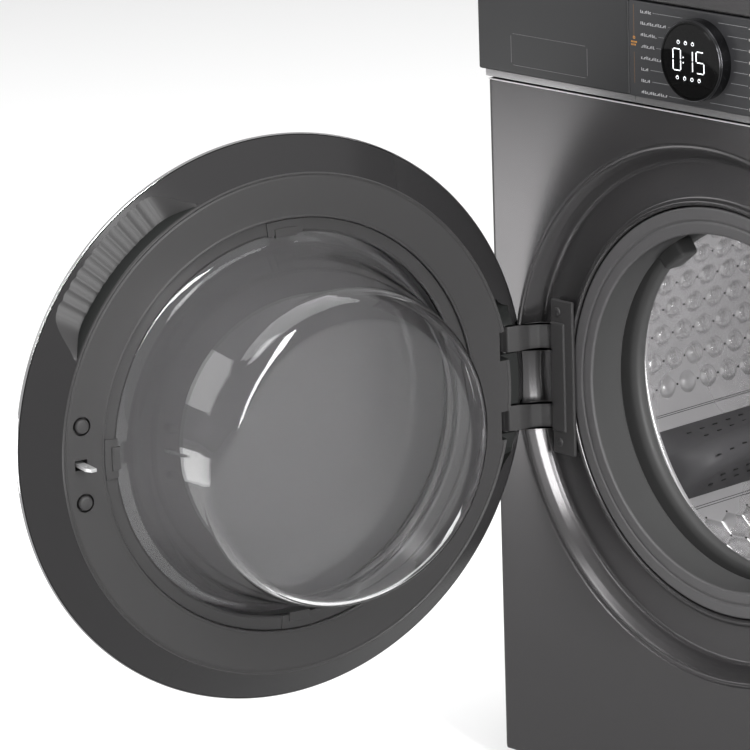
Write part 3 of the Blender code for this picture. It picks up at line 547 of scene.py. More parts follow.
class Repeater:
    """A Geometry Nodes tree that sets one shape on every point of a mesh."""

    def __init__(self) -> None:
        """Builds the tree, with its sizes as named inputs."""
        tree = bpy.data.node_groups.new("repeat_on_points", "GeometryNodeTree")
        face = tree.interface
        self.geometry = face.new_socket("Points", in_out="INPUT", socket_type="NodeSocketGeometry")
        self.shape = face.new_socket("Shape", in_out="INPUT", socket_type="NodeSocketObject")
        self.size = face.new_socket("Size", in_out="INPUT", socket_type="NodeSocketFloat")
        self.finish = face.new_socket("Finish", in_out="INPUT", socket_type="NodeSocketMaterial")
        face.new_socket("Copies", in_out="OUTPUT", socket_type="NodeSocketGeometry")
        nodes, links = tree.nodes, tree.links
        start, end = nodes.new("NodeGroupInput"), nodes.new("NodeGroupOutput")
        shape = nodes.new("GeometryNodeObjectInfo")
        turn = nodes.new("GeometryNodeInputNamedAttribute")
        turn.data_type = "FLOAT_VECTOR"
        turn.inputs["Name"].default_value = "turn"
        rotation = nodes.new("FunctionNodeEulerToRotation")
        copies = nodes.new("GeometryNodeInstanceOnPoints")
        real = nodes.new("GeometryNodeRealizeInstances")
        coat = nodes.new("GeometryNodeSetMaterial")
        links.new(start.outputs["Points"], copies.inputs["Points"])
        links.new(start.outputs["Shape"], shape.inputs["Object"])
        links.new(shape.outputs["Geometry"], copies.inputs["Instance"])
        links.new(turn.outputs["Attribute"], rotation.inputs[0])
        links.new(rotation.outputs[0], copies.inputs["Rotation"])
        links.new(start.outputs["Size"], copies.inputs["Scale"])
        links.new(copies.outputs["Instances"], real.inputs["Geometry"])
        links.new(real.outputs["Geometry"], coat.inputs["Geometry"])
        links.new(start.outputs["Finish"], coat.inputs["Material"])
        links.new(coat.outputs["Geometry"], end.inputs["Copies"])
        self.tree = tree

    def place(self, name: str, shape: bpy.types.Object, spots: Sequence[Spot], finish: Finish,
              size: float = 1.0) -> bpy.types.Object:
        """Sets the shape on each spot and removes the shape.

        Args:
            name: the new object's name.
            shape: one copy, around the origin, with its Z outwards.
            spots: where the copies go.
            finish: what they are made of.
            size: a scale for all of them.

        Returns:
            One mesh that holds every copy.
        """
        mesh = bpy.data.meshes.new(name)
        mesh.from_pydata([spot.at for spot in spots], [], [])
        turns = mesh.attributes.new("turn", "FLOAT_VECTOR", "POINT")
        turns.data.foreach_set("vector", [c for spot in spots for c in spot.turn()])
        obj = bpy.data.objects.new(name, mesh)
        bpy.context.scene.collection.objects.link(obj)
        modifier = obj.modifiers.new("repeat", "NODES")
        modifier.node_group = self.tree
        modifier[self.shape.identifier] = shape
        modifier[self.size.identifier] = size
        modifier[self.finish.identifier] = finish.material()
        evaluated(obj)
        bpy.data.objects.remove(shape)
        obj.data.materials.clear()
        return coated(obj, finish)


# ---------------------------------------------------------------- shared places
@dataclass(frozen=True)
class Layout:
    """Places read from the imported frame."""

    frame: dict
    front: float
    axis: float
    door_turn: Matrix
    hinge: Point3

    @classmethod
    def read(cls, frame: dict) -> Layout:
        """Takes the driving places from the frame's boxes and joints.


        Returns:
            The layout.
        """
        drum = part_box("drum")
        joints = {joint["name"]: joint for joint in frame["joints"]}
        hinge = tuple(joints["door_hinge"]["pos_m"])
        opened = math.radians(joints["door_hinge"]["range_deg"][0])
        turn = Matrix.Translation(hinge) @ Matrix.Rotation(opened, 4, "Z") @ Matrix.Translation(-Vector(hinge))
        return cls(frame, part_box("front_panel")[0][1], (drum[0][2] + drum[1][2]) / 2, turn, hinge)

    def at(self, x: float, depth: float, z: float) -> Point3:
        """A point from its place across, its depth and its height above the drum's axis."""
        return (x, self.front + depth, self.axis + z)

    def centre(self, depth: float = 0.0) -> Point3:
        """A point on the drum's axis."""
        return self.at(0.0, depth, 0.0)

    def copy(self, node: str) -> bpy.types.Object:
        """Copies a frame node's mesh, with its loose triangles merged.

        Args:
            node: the node's name.

        Returns:
            The copy, at the origin.
        """
        source = self.frame["nodes"][node]
        work = bmesh.new()
        work.from_mesh(source.data)
        bmesh.ops.transform(work, matrix=source.matrix_world, verts=work.verts)
        return new_object(f"{node}_skin", work)


# ---------------------------------------------------------------- cabinet
@dataclass
class Cabinet:
    """The painted box with its stamped front, worktop, base, back and feet."""

    layout: Layout
    repeat: Repeater
    edge: float = 0.0085
    corner: float = 0.006
    wall: float = 0.0012
    flatness: float = 0.2
    recess: tuple[Point2, ...] = (
        (0.2672, 0.0000), (0.2660, 0.0013), (0.2644, 0.0016), (0.2634, 0.0006), (0.2618, 0.0006),
        (0.2596, 0.0026),
        (0.2555, 0.0082), (0.2520, 0.0145), (0.2500, 0.0190), (0.2465, 0.0203), (0.2120, 0.0205),
        (0.2100, 0.0192),
        (0.2088, 0.0168), (0.2072, 0.0160), (0.2052, 0.0160), (0.2039, 0.0176), (0.2035, 0.0210),
        (0.2035, 0.0300),
    )

    def rectangle(self, inset: float, angles: Sequence[float], depth: float) -> list[Point3]:
        """A rounded rectangle around the front, met by rays from the drum's axis.

        Args:
            inset: how far inside the front's outline it lies.
            angles: the rays.
            depth: how far behind the front plane it lies.

        Returns:
            One point for each ray.
        """
        low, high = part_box("front_panel")
        lay = self.layout
        left, right = low[0] + inset, high[0] - inset
        bottom = low[2] + inset * self.flatness - lay.axis
        top = high[2] - inset * self.flatness - lay.axis
        radius = max(self.corner - inset, 0.0008)
        points = []
        for angle in angles:
            c, s = math.cos(angle), math.sin(angle)
            reach = min(
                (right if c > 0 else left) / c if abs(c) > 1e-9 else 9.0,
                (top if s > 0 else bottom) / s if abs(s) > 1e-9 else 9.0,
            )
            x, z = reach * c, reach * s
            corner_x = (right - radius) if c > 0 else (left + radius)
            corner_z = (top - radius) if s > 0 else (bottom + radius)
            if (x - corner_x) * c > 0 and (z - corner_z) * s > 0:
                dot = corner_x * c + corner_z * s
                gap = dot * dot - corner_x**2 - corner_z**2 + radius**2
                reach = dot + math.sqrt(max(gap, 0.0))
                x, z = reach * c, reach * s
            points.append(lay.at(x, depth, z))
        return points

    def front_panel(self) -> None:
        """The stamped front: one sheet from the door recess out to its folded edges."""
        lay = self.layout
        low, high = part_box("front_panel")
        corners = [math.atan2(z - lay.axis, x) for x in (low[0], high[0]) for z in (low[2], high[2])]
        angles = {2 * math.pi * i / FINE_STEPS for i in range(FINE_STEPS)}
        for corner in corners:
            angles |= {(corner + k * 0.0022) % (2 * math.pi) for k in range(-7, 8)}
        rays = sorted(angles)
        loops = []
        for radius, depth in reversed(fillet(self.recess, 0.0009, 2, closed=False)):
            loops.append([lay.at(radius * math.cos(a), depth, radius * math.sin(a)) for a in rays])
        for step in range(9):
            lean = math.pi / 2 * step / 8
            inset = self.edge * (1 - math.sin(lean))
            loops.append(self.rectangle(inset, rays, self.edge * (1 - math.cos(lean))))
        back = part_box("front_panel")[1][1] - lay.front
        loops.append(self.rectangle(0.0, rays, back))
        panel = loft("front_panel_shell", loops, ends=False)
        solid = panel.modifiers.new("wall", "SOLIDIFY")
        solid.thickness = self.wall
        solid.offset = -1
        evaluated(panel)
        hole = slab("flap_cut", (0.1445, lay.front - 0.02, 0.0258), (0.2555, lay.front + 0.02, 0.1025))
        slot = slab("latch_cut", lay.at(0.2225, 0.012, -0.011), lay.at(0.2365, 0.030, 0.011), 0.001)
        combine(panel, (hole, slot), "DIFFERENCE")
        hand_over(coated(panel, PAINT), "cabinet", "cabinet_paint", "front_panel")

    def shell(self) -> None:
        """The wrap's sides and back, the worktop, the rear cover and the base pan."""
        wrap = merged("cabinet_sides", [self.layout.copy("cabinet_wrap")])
        hand_over(coated(wrap, PAINT), "cabinet", "cabinet_paint", "cabinet_wrap")
        low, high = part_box("worktop")
        top = slab("worktop_slab", low, high, 0.0030, 5)
        hollow = slab("worktop_hollow", (low[0] + 0.014, low[1] + 0.014, low[2] - 0.01),
                      (high[0] - 0.014, high[1] - 0.014, high[2] - 0.005))
        combine(top, (hollow,), "DIFFERENCE")
        hand_over(coated(top, PAINT), "cabinet", "cabinet_paint", "worktop")
        self.back()
        pan = coated(self.layout.copy("base_pan"), ZINC)
        hand_over(pan, "cabinet", "bare_steel", "base_pan")

    def back(self) -> None:
        """The rear cover with its stamped ring and ribs, and its row of screws."""
        low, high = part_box("rear_cover")
        middle = (low[1] + high[1]) / 2
        cover = slab("rear_cover_sheet", low, high, 0.0004, 1)
        stamps = [
            lathe("cover_ring", fillet([(0.172, 0.0), (0.166, 0.0030), (0.158, 0.0030), (0.152, 0.0)], 0.003),
                  (0, middle, self.layout.axis), MEDIUM_STEPS),
            lathe("cover_boss", [(0.0, 0.0), (0.060, 0.0), (0.054, 0.0030), (0.0, 0.0032)],
                  (0, middle, self.layout.axis), MEDIUM_STEPS),
        ]
        for i in range(5):
            z = low[2] + 0.035 + 0.022 * i
            stamps.append(slab(f"cover_rib_{i}", (-0.17, middle, z), (0.17, high[1] + 0.0022, z + 0.009),
                               0.0015, 2))
        combine(cover, stamps, "UNION")
        head = lathe("screw_head",
                     [(0.0, 0.0), (0.0045, 0.0), (0.0043, 0.0016), (0.0028, 0.0024), (0.0, 0.0026)],
                     (0, 0, 0), 12, (0, 0, 1))
        spots = [
            Spot((x, high[1], z), (0, 1, 0), (0, 0, 1))
            for x in (low[0] + 0.008, high[0] - 0.008)
            for z in [low[2] + 0.02 + 0.1445 * k for k in range(5)]
        ]
        screws = self.repeat.place("rear_cover_screws", head, spots, BARE_STEEL)
        hand_over(coated(cover, ZINC), "cabinet", "bare_steel", "rear_cover")
        hand_over(screws, "cabinet", "bare_steel")

    def feet(self) -> None:
        """Four levelling feet: a steel stem in a rubber pad."""
        for node in ("foot_front_left", "foot_front_right", "foot_rear_left", "foot_rear_right"):
            low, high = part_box(node)
            x, y = (low[0] + high[0]) / 2, (low[1] + high[1]) / 2
            pad = [(0.0, 0.0), (0.0195, 0.0), (0.0200, 0.0015), (0.0165, 0.0072), (0.0100, 0.0084),
                   (0.0, 0.0084)]
            stem = [(0.0, 0.0080), (0.0048, 0.0080), (0.0048, high[2] - low[2] - 0.001),
                    (0.0, high[2] - low[2])]
            base = (x, y, low[2])
            rubber = coated(lathe(f"{node}_pad", fillet(pad, 0.001), base, SMALL_STEPS, (0, 0, 1)),
                            BLACK_RUBBER)
            steel = coated(lathe(f"{node}_stem", stem, base, SMALL_STEPS, (0, 0, 1)), BARE_STEEL)
            hand_over(merged(f"{node}_whole", [rubber, steel]), node, "gasket_rubber", node)

    def flap(self) -> None:
        """The filter flap with its finger notch."""
        low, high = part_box("filter_flap")
        lid = slab("flap_lid", low, (high[0], low[1] + 0.0020, high[2]), 0.0007, 2)
        knuckle = lathe("flap_roll", [(0.0, 0.0), (0.0022, 0.0), (0.0022, 0.080), (0.0, 0.080)],
                        (0.160, low[1] + 0.0045, 0.0330), SMALL_STEPS, (1, 0, 0))
        notch = slab("flap_notch", (0.190, low[1] - 0.01, high[2] - 0.007),
                     (0.210, low[1] + 0.0012, high[2] + 0.01), 0.0005)
        combine(lid, (notch,), "DIFFERENCE")
        whole = merged("filter_flap_lid", [coated(lid, PAINT), coated(knuckle, PAINT)])
        hand_over(whole, "filter_flap", "cabinet_paint", "filter_flap")

    def build(self) -> None:
        """Builds the whole cabinet."""
        self.front_panel()
        self.shell()
        self.feet()
        self.flap()


# ---------------------------------------------------------------- controls
@dataclass
class Controls:
    """The fascia with its print, the dial with its display, the buttons and the drawer."""

    layout: Layout
    repeat: Repeater
    rows: int = 8
    row_pitch: float = 0.0111
    first_row: float = 0.0362
    word_x: float = -0.0745
    right_word_x: float = 0.0655
    words: tuple[float, ...] = (0.014, 0.034, 0.021, 0.018, 0.027, 0.010, 0.012, 0.034)
    right_words: tuple[float, ...] = (0.022, 0.016, 0.020, 0.015, 0.020, 0.024, 0.017, 0.026)
    leader_radius: float = 0.0430
    print_height: float = 0.00012
    digit_height: float = 0.0205
    digit_width: float = 0.0098
    stroke: float = 0.0009
    zero_x: float = -0.0172
    one_x: float = -0.0018
    five_x: float = 0.0128
    colon_x: float = -0.0090
    lens_radius: float = 0.0357
    line_box: tuple[float, float, float, float] = (-0.2512, -0.1462, 0.7225, 0.7540)
    dial_x: float = field(init=False)
    dial_z: float = field(init=False)
    face: float = field(init=False)
    seam: float = field(init=False)
    glass: float = field(init=False)

    def fascia(self) -> None:
        """The fascia beside the drawer, the strip under it coloured lighter as a painted reflection, the seat
        behind the drawer front, and a pale bar along the front panel's top edge as a painted highlight.
        """
        low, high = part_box("control_panel")
        drawer_low, drawer_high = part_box("dispenser_front")
        ring_low, ring_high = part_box("dial_ring")
        self.dial_x, self.dial_z = (ring_low[0] + ring_high[0]) / 2, (ring_low[2] + ring_high[2]) / 2
        self.face = low[1]
        self.seam = drawer_high[0]
        bottom = drawer_low[2]
        body = merged("fascia_body", [self.layout.copy("control_panel")])
        skin = slab("fascia_skin", (self.seam + 0.0009, self.face - 0.0002, bottom),
                    (high[0], self.face + 0.0100, high[2]), 0.0012, 4)
        holes = []
        for node in ("power_button", "start_button"):
            b_low, b_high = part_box(node)
            middle = ((b_low[0] + b_high[0]) / 2, self.face - 0.01, (b_low[2] + b_high[2]) / 2)
            radius = (b_high[0] - b_low[0]) / 2 + 0.0006
            holes.append(lathe(f"{node}_cut", [(0.0, 0.0), (radius, 0.0), (radius, 0.03), (0.0, 0.03)], middle,
                               MEDIUM_STEPS))
        combine(skin, holes, "DIFFERENCE")
        # painted reflection: the strip is coloured lighter than the cabinet paint
        strip = slab("strip_under_fascia", (low[0], self.layout.front - 0.0003, low[2]),
                     (high[0], self.layout.front + 0.006, bottom + 0.001), 0.0007, 2)
        groove = slab("strip_groove", (self.seam - 0.0010, self.layout.front - 0.01, low[2] - 0.01),
                      (self.seam - 0.0002, self.layout.front + 0.0008, bottom + 0.02))
        combine(strip, (groove,), "DIFFERENCE")
        panel_low, panel_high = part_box("front_panel")
        # painted highlight: a pale bar along the front panel's top edge
        shine = slab("top_edge_shine",
                     (panel_low[0] + 0.004, self.layout.front - 0.0003, panel_high[2] - 0.0016),
                     (panel_high[0] - 0.004, self.layout.front + 0.0040, panel_high[2] - 0.0006))
        whole = merged("fascia",
                       [coated(body, FASCIA), coated(skin, FASCIA), coated(strip, STRIP_REFLECTION),
                        coated(shine, TOP_EDGE_HIGHLIGHT)])
        hand_over(whole, "cabinet", "panel_plastic", "control_panel")

    def bar(self, x: float, z: float, width: float, height: float, finish: Finish) -> bpy.types.Object:
        """A thin printed bar on the face.

        Args:
            x: its left end.
            z: its middle height.
            width: its length.
            height: its thickness up and down.
            finish: its ink.

        Returns:
            The bar.
        """
        y = self.face - 0.0002
        piece = slab("bar", (x, y - self.print_height, z - height / 2), (x + width, y + 0.0001, z + height / 2))
        return coated(piece, finish)

    def word(self, x: float, z: float, width: float, shift: int) -> list[bpy.types.Object]:
        """A row of plain strokes that says nothing, in place of a word.

        Args:
            x: its left end.
            z: its middle height.
            width: its length.
            shift: which pattern of strokes it takes.

        Returns:
            The strokes.
        """
        count = max(3, round(width / 0.0021))
        step = width / count
        marks = []
        for k in range(count):
            kind = (k * 7 + shift * 3) % 5
            tall = 0.0028 if kind in (0, 3) else 0.0018
            base = z - 0.0014
            if kind != 4:
                marks.append(self.bar(x + step * k, base + tall / 2, step * 0.30, tall, PRINT))
            if kind in (1, 2):
                marks.append(self.bar(x + step * k, base + tall, step * 0.75, 0.00045, PRINT))
            if kind in (0, 2, 4):
                marks.append(self.bar(x + step * k, base + 0.0002, step * 0.75, 0.00045, PRINT))
        return marks

    def print_marks(self) -> None:
        """Plain strokes in place of words, with a leader line from each towards the dial."""
        marks = []
        for i in range(self.rows):
            rise = self.first_row - self.row_pitch * i
            z = self.dial_z + rise
            inner = math.sqrt(max(self.leader_radius**2 - rise**2, 0.0001))
            marks += self.word(self.word_x, z, self.words[i], i)
            marks += self.word(self.right_word_x, z + 0.0012, self.right_words[i], i + 3)
            start = self.word_x + self.words[i] + 0.002
            marks.append(self.bar(start, z, self.dial_x - inner - start, 0.00035, FAINT))
            marks.append(self.bar(self.dial_x + inner, z + 0.0012,
                                  self.right_word_x - 0.002 - self.dial_x - inner, 0.00035, FAINT))
        line_x = self.seam + 0.0072
        for rise in (0.027, -0.019):
            marks.append(self.bar(line_x, self.dial_z + rise, 0.0003, 0.030, AMBER))
        for k, drop in enumerate((0.0022, 0.0050)):
            for step in range(5 - k):
                marks.append(self.bar(line_x - 0.0034 + 0.0016 * step, self.dial_z + 0.0080 - drop, 0.0008,
                                      0.0016, ORANGE))
        ring = lathe("orange_ring",
                     [(0.0009, 0.0), (0.0014, 0.0), (0.0014, self.print_height), (0.0009, self.print_height)],
                     (line_x + 0.0002, self.face - 0.0002 - self.print_height, self.dial_z + 0.0100),
                     SMALL_STEPS)
        marks.append(coated(ring, ORANGE))
        hand_over(merged("fascia_print", marks), "cabinet", "panel_plastic")

    def digit(self, segments: str, x: float) -> list[bpy.types.Object]:
        """A seven-segment figure.

        Args:
            segments: letters a to f, clockwise from the top, and g in the middle.
            x: the figure's middle.

        Returns:
            One bar for each segment.
        """
        half_w, half_h = self.digit_width / 2, self.digit_height / 2
        flat, tall, thick = self.digit_width - 2.2 * self.stroke, half_h - 1.6 * self.stroke, self.stroke
        places = {
            "a": (0, half_h, flat, thick), "g": (0, 0, flat, thick), "d": (0, -half_h, flat, thick),
            "b": (half_w, half_h / 2, thick, tall), "c": (half_w, -half_h / 2, thick, tall),
            "f": (-half_w, half_h / 2, thick, tall), "e": (-half_w, -half_h / 2, thick, tall),
        }
        made = []
        for key in segments:
            dx, dz, width, height = places[key]
            low = (x + dx - width / 2, self.glass - 0.0002, self.dial_z + dz - height / 2)
            high = (x + dx + width / 2, self.glass + 0.0001, self.dial_z + dz + height / 2)
            made.append(coated(slab("segment", low, high), GLOW))
        return made

    def icons(self) -> list[bpy.types.Object]:
        """Small outline symbols over and under the figures.

        Returns:
            The rings and their strokes.
        """
        made = []
        thin = [(0.0015, 0.0), (0.0018, 0.0), (0.0018, 0.0002), (0.0015, 0.0002)]
        for rise, places in ((0.0168, (-0.0150, -0.0058, 0.0034)),
                             (-0.0172, (-0.0168, -0.0074, 0.0020, 0.0114))):
            for k, shift in enumerate(places):
                x, z = self.dial_x + shift, self.dial_z + rise
                made.append(coated(lathe("icon", thin, (x, self.glass - 0.0002, z), 16), GLOW))
                made.append(coated(slab("icon_mark", (x - 0.0002, self.glass - 0.0002, z + 0.0005),
                                        (x + 0.0002 + 0.0004 * (k % 2), self.glass, z + 0.0020)), GLOW))
        return made

    def dial(self) -> None:
        """The turning ring, the fixed lens and what it shows."""
        low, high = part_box("dial_ring")
        radius, reach = (high[0] - low[0]) / 2, high[1] - low[1]
        grip = [(0.0361, reach), (radius, reach), (radius, 0.0034), (radius - 0.0003, 0.0028),
                (radius - 0.0006, 0.0026),
                (radius - 0.0006, 0.0020), (radius - 0.0003, 0.0016), (radius - 0.0006, 0.0004),
                (radius - 0.0010, 0.0),
                (radius - 0.0013, 0.0002), (0.0361, 0.0003)]
        origin = (self.dial_x, low[1], self.dial_z)
        ring = coated(lathe("dial_side", grip, origin), DIAL_METAL)
        cover = [(0.0358, 0.0001), (radius - 0.0014, 0.0001), (radius - 0.0014, 0.0012), (0.0358, 0.0012)]
        face = coated(lathe("dial_face_ring", cover, (self.dial_x, low[1] - 0.0001, self.dial_z)), BLACK)
        hand_over(merged("dial_grip", [ring, face]), "dial", "chrome_trim", "dial_ring")
        self.glass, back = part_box("display_lens")[0][1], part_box("display_lens")[1][1]
        depth = back - self.glass
        r = self.lens_radius
        lens = [(0.0, 0.0), (r - 0.0005, 0.0), (r, 0.0004), (r, depth - 0.002), (0.020, depth), (0.0, depth)]
        hand_over(coated(lathe("display_glass", lens, (self.dial_x, self.glass, self.dial_z)), BLACK),
                  "cabinet",
                  "gloss_black", "display_lens")
        shown = self.digit("abcdef", self.dial_x + self.zero_x) + self.digit("bc", self.dial_x + self.one_x)
        shown += self.digit("afgcd", self.dial_x + self.five_x) + self.icons()
        for rise in (0.0028, -0.0022):
            x, z = self.dial_x + self.colon_x, self.dial_z + rise
            dot = slab("colon", (x - 0.0004, self.glass - 0.0002, z - 0.0006),
                       (x + 0.0005, self.glass + 0.0001, z + 0.0006))
            shown.append(coated(dot, GLOW))
        hand_over(merged("display_figures", shown), "cabinet", "gloss_black")

    def buttons(self) -> None:
        """Two round push buttons, each with a plain printed mark."""
        for node in ("power_button", "start_button"):
            low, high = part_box(node)
            middle = ((low[0] + high[0]) / 2, low[1], (low[2] + high[2]) / 2)
            radius, depth = (high[0] - low[0]) / 2, high[1] - low[1]
            outline = fillet([(0.0, 0.0004), (radius * 0.8, 0.0), (radius, 0.0012), (radius, depth),
                              (0.0, depth)], 0.0008)
            cap = coated(lathe(f"{node}_cap", outline, middle), FASCIA)
            ring = [(0.0040, -0.0001), (0.0046, -0.0001), (0.0046, 0.0008), (0.0040, 0.0008)]
            mark = coated(lathe(f"{node}_mark", ring, middle, MEDIUM_STEPS), PRINT)
            hand_over(merged(f"{node}_whole", [cap, mark]), node, "panel_plastic", node)

    def outline_frame(self, face: float) -> bpy.types.Object:
        """The cutter for the thin sunk outline on the drawer front.

        Args:
            face: the drawer front's plane.

        Returns:
            A thin rounded frame.
        """
        left, right, bottom, top = self.line_box
        corner, line = 0.003, 0.0006

        def place(a: float, b: float, depth: float) -> Point3:
            """A point of the drawer's face."""
            return (a, face + depth, b)

        def frame(grow: float) -> list[Point2]:
            """The line's outline.

            Args:
                grow: how far it is moved outwards.

            Returns:
                The rounded outline.
            """
            box = [(left - grow, bottom - grow), (right + grow, bottom - grow), (right + grow, top + grow),
                   (left - grow, top + grow)]
            return fillet(box, corner + grow, 5)

        outer = prism("line_cut", frame(0.0), -0.001, 0.0004, place)
        inner = prism("line_keep", frame(-line), -0.002, 0.002, place)
        return combine(outer, (inner,), "DIFFERENCE")

    def drawer(self) -> None:
        """The drawer front with its sunk outline, pale lines along the outline as painted highlights, rounded
        at its outer corner.
        """
        low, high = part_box("dispenser_front")
        front = merged("drawer_body", [self.layout.copy("dispenser_front")])
        skin = slab("drawer_skin", (low[0], low[1] - 0.0001, low[2]), (high[0], low[1] + 0.0085, high[2]),
                    0.0022, 5)
        combine(skin, (self.outline_frame(low[1] - 0.0001),), "DIFFERENCE")
        # painted highlights: pale strips along the edges of the sunk outline
        lines = []
        left, right, bottom, top = self.line_box
        upright = [((x, bottom + 0.0025), (x + 0.0004, top - 0.0025)) for x in (left, right - 0.0004)]
        level = [((left + 0.0027, z), (right - 0.0028, z + 0.0003)) for z in (bottom, top - 0.0003)]
        for a, b in upright + level:
            piece = slab("line_light", (a[0], low[1] - 0.00022, a[1]), (b[0], low[1] + 0.0002, b[1]))
            lines.append(coated(piece, OUTLINE_HIGHLIGHT))
        whole = merged("drawer_front", [coated(front, DRAWER), coated(skin, DRAWER), *lines])
        hand_over(whole, "drawer", "panel_plastic", "dispenser_front")

    def build(self) -> None:
        """Builds the whole control panel."""
        self.fascia()
        self.print_marks()
        self.dial()
        self.buttons()
        self.drawer()


# ---------------------------------------------------------------- door
@dataclass
class Pocket:
    """A scooped cut along the door's rim. Angles are in radians from +X of the closed door."""

    middle: float
    flat: float
    taper: float
    inner: float
    outer: float
    floor_inner: float
    floor_outer: float
    ribs: int = 0
    rib_height: float = 0.0
    steps: int = 160

    def cutter(self, door: Door) -> bpy.types.Object:
        """The solid that the cut takes away.

        Args:
            door: the door, which places it.

        Returns:
            The solid, as on the closed door.
        """
        loops = []
        reach = self.flat + self.taper
        for i in range(self.steps + 1):
            offset = -reach + 2 * reach * i / self.steps
            past = max(abs(offset) - self.flat, 0.0) / self.taper
            share = max(0.5 * (1 + math.cos(math.pi * min(past, 1.0))), 0.004)
            wave = 0.0
            if self.ribs and past < 0.05:
                wave = self.rib_height * abs(math.sin(math.pi * self.ribs * (offset / self.flat + 1) / 2))
            outer = self.inner + (self.outer - self.inner) * share + wave * 0.9
            top_inner = door.rim_height(self.inner)
            floor_in = top_inner + 0.0004 + (self.floor_inner - top_inner) * share - wave * 0.5
            floor_out = max(self.floor_outer, 0.0) if self.floor_outer else door.rim_height(outer) - 0.0002
            angle = self.middle + offset
            section = [(self.inner, floor_in), (outer, floor_out), (outer + 0.010, 0.05), (self.inner, 0.05)]
            loops.append([door.spot(r * math.cos(angle), h, r * math.sin(angle)) for r, h in section])
        return loft("pocket_cut", loops)


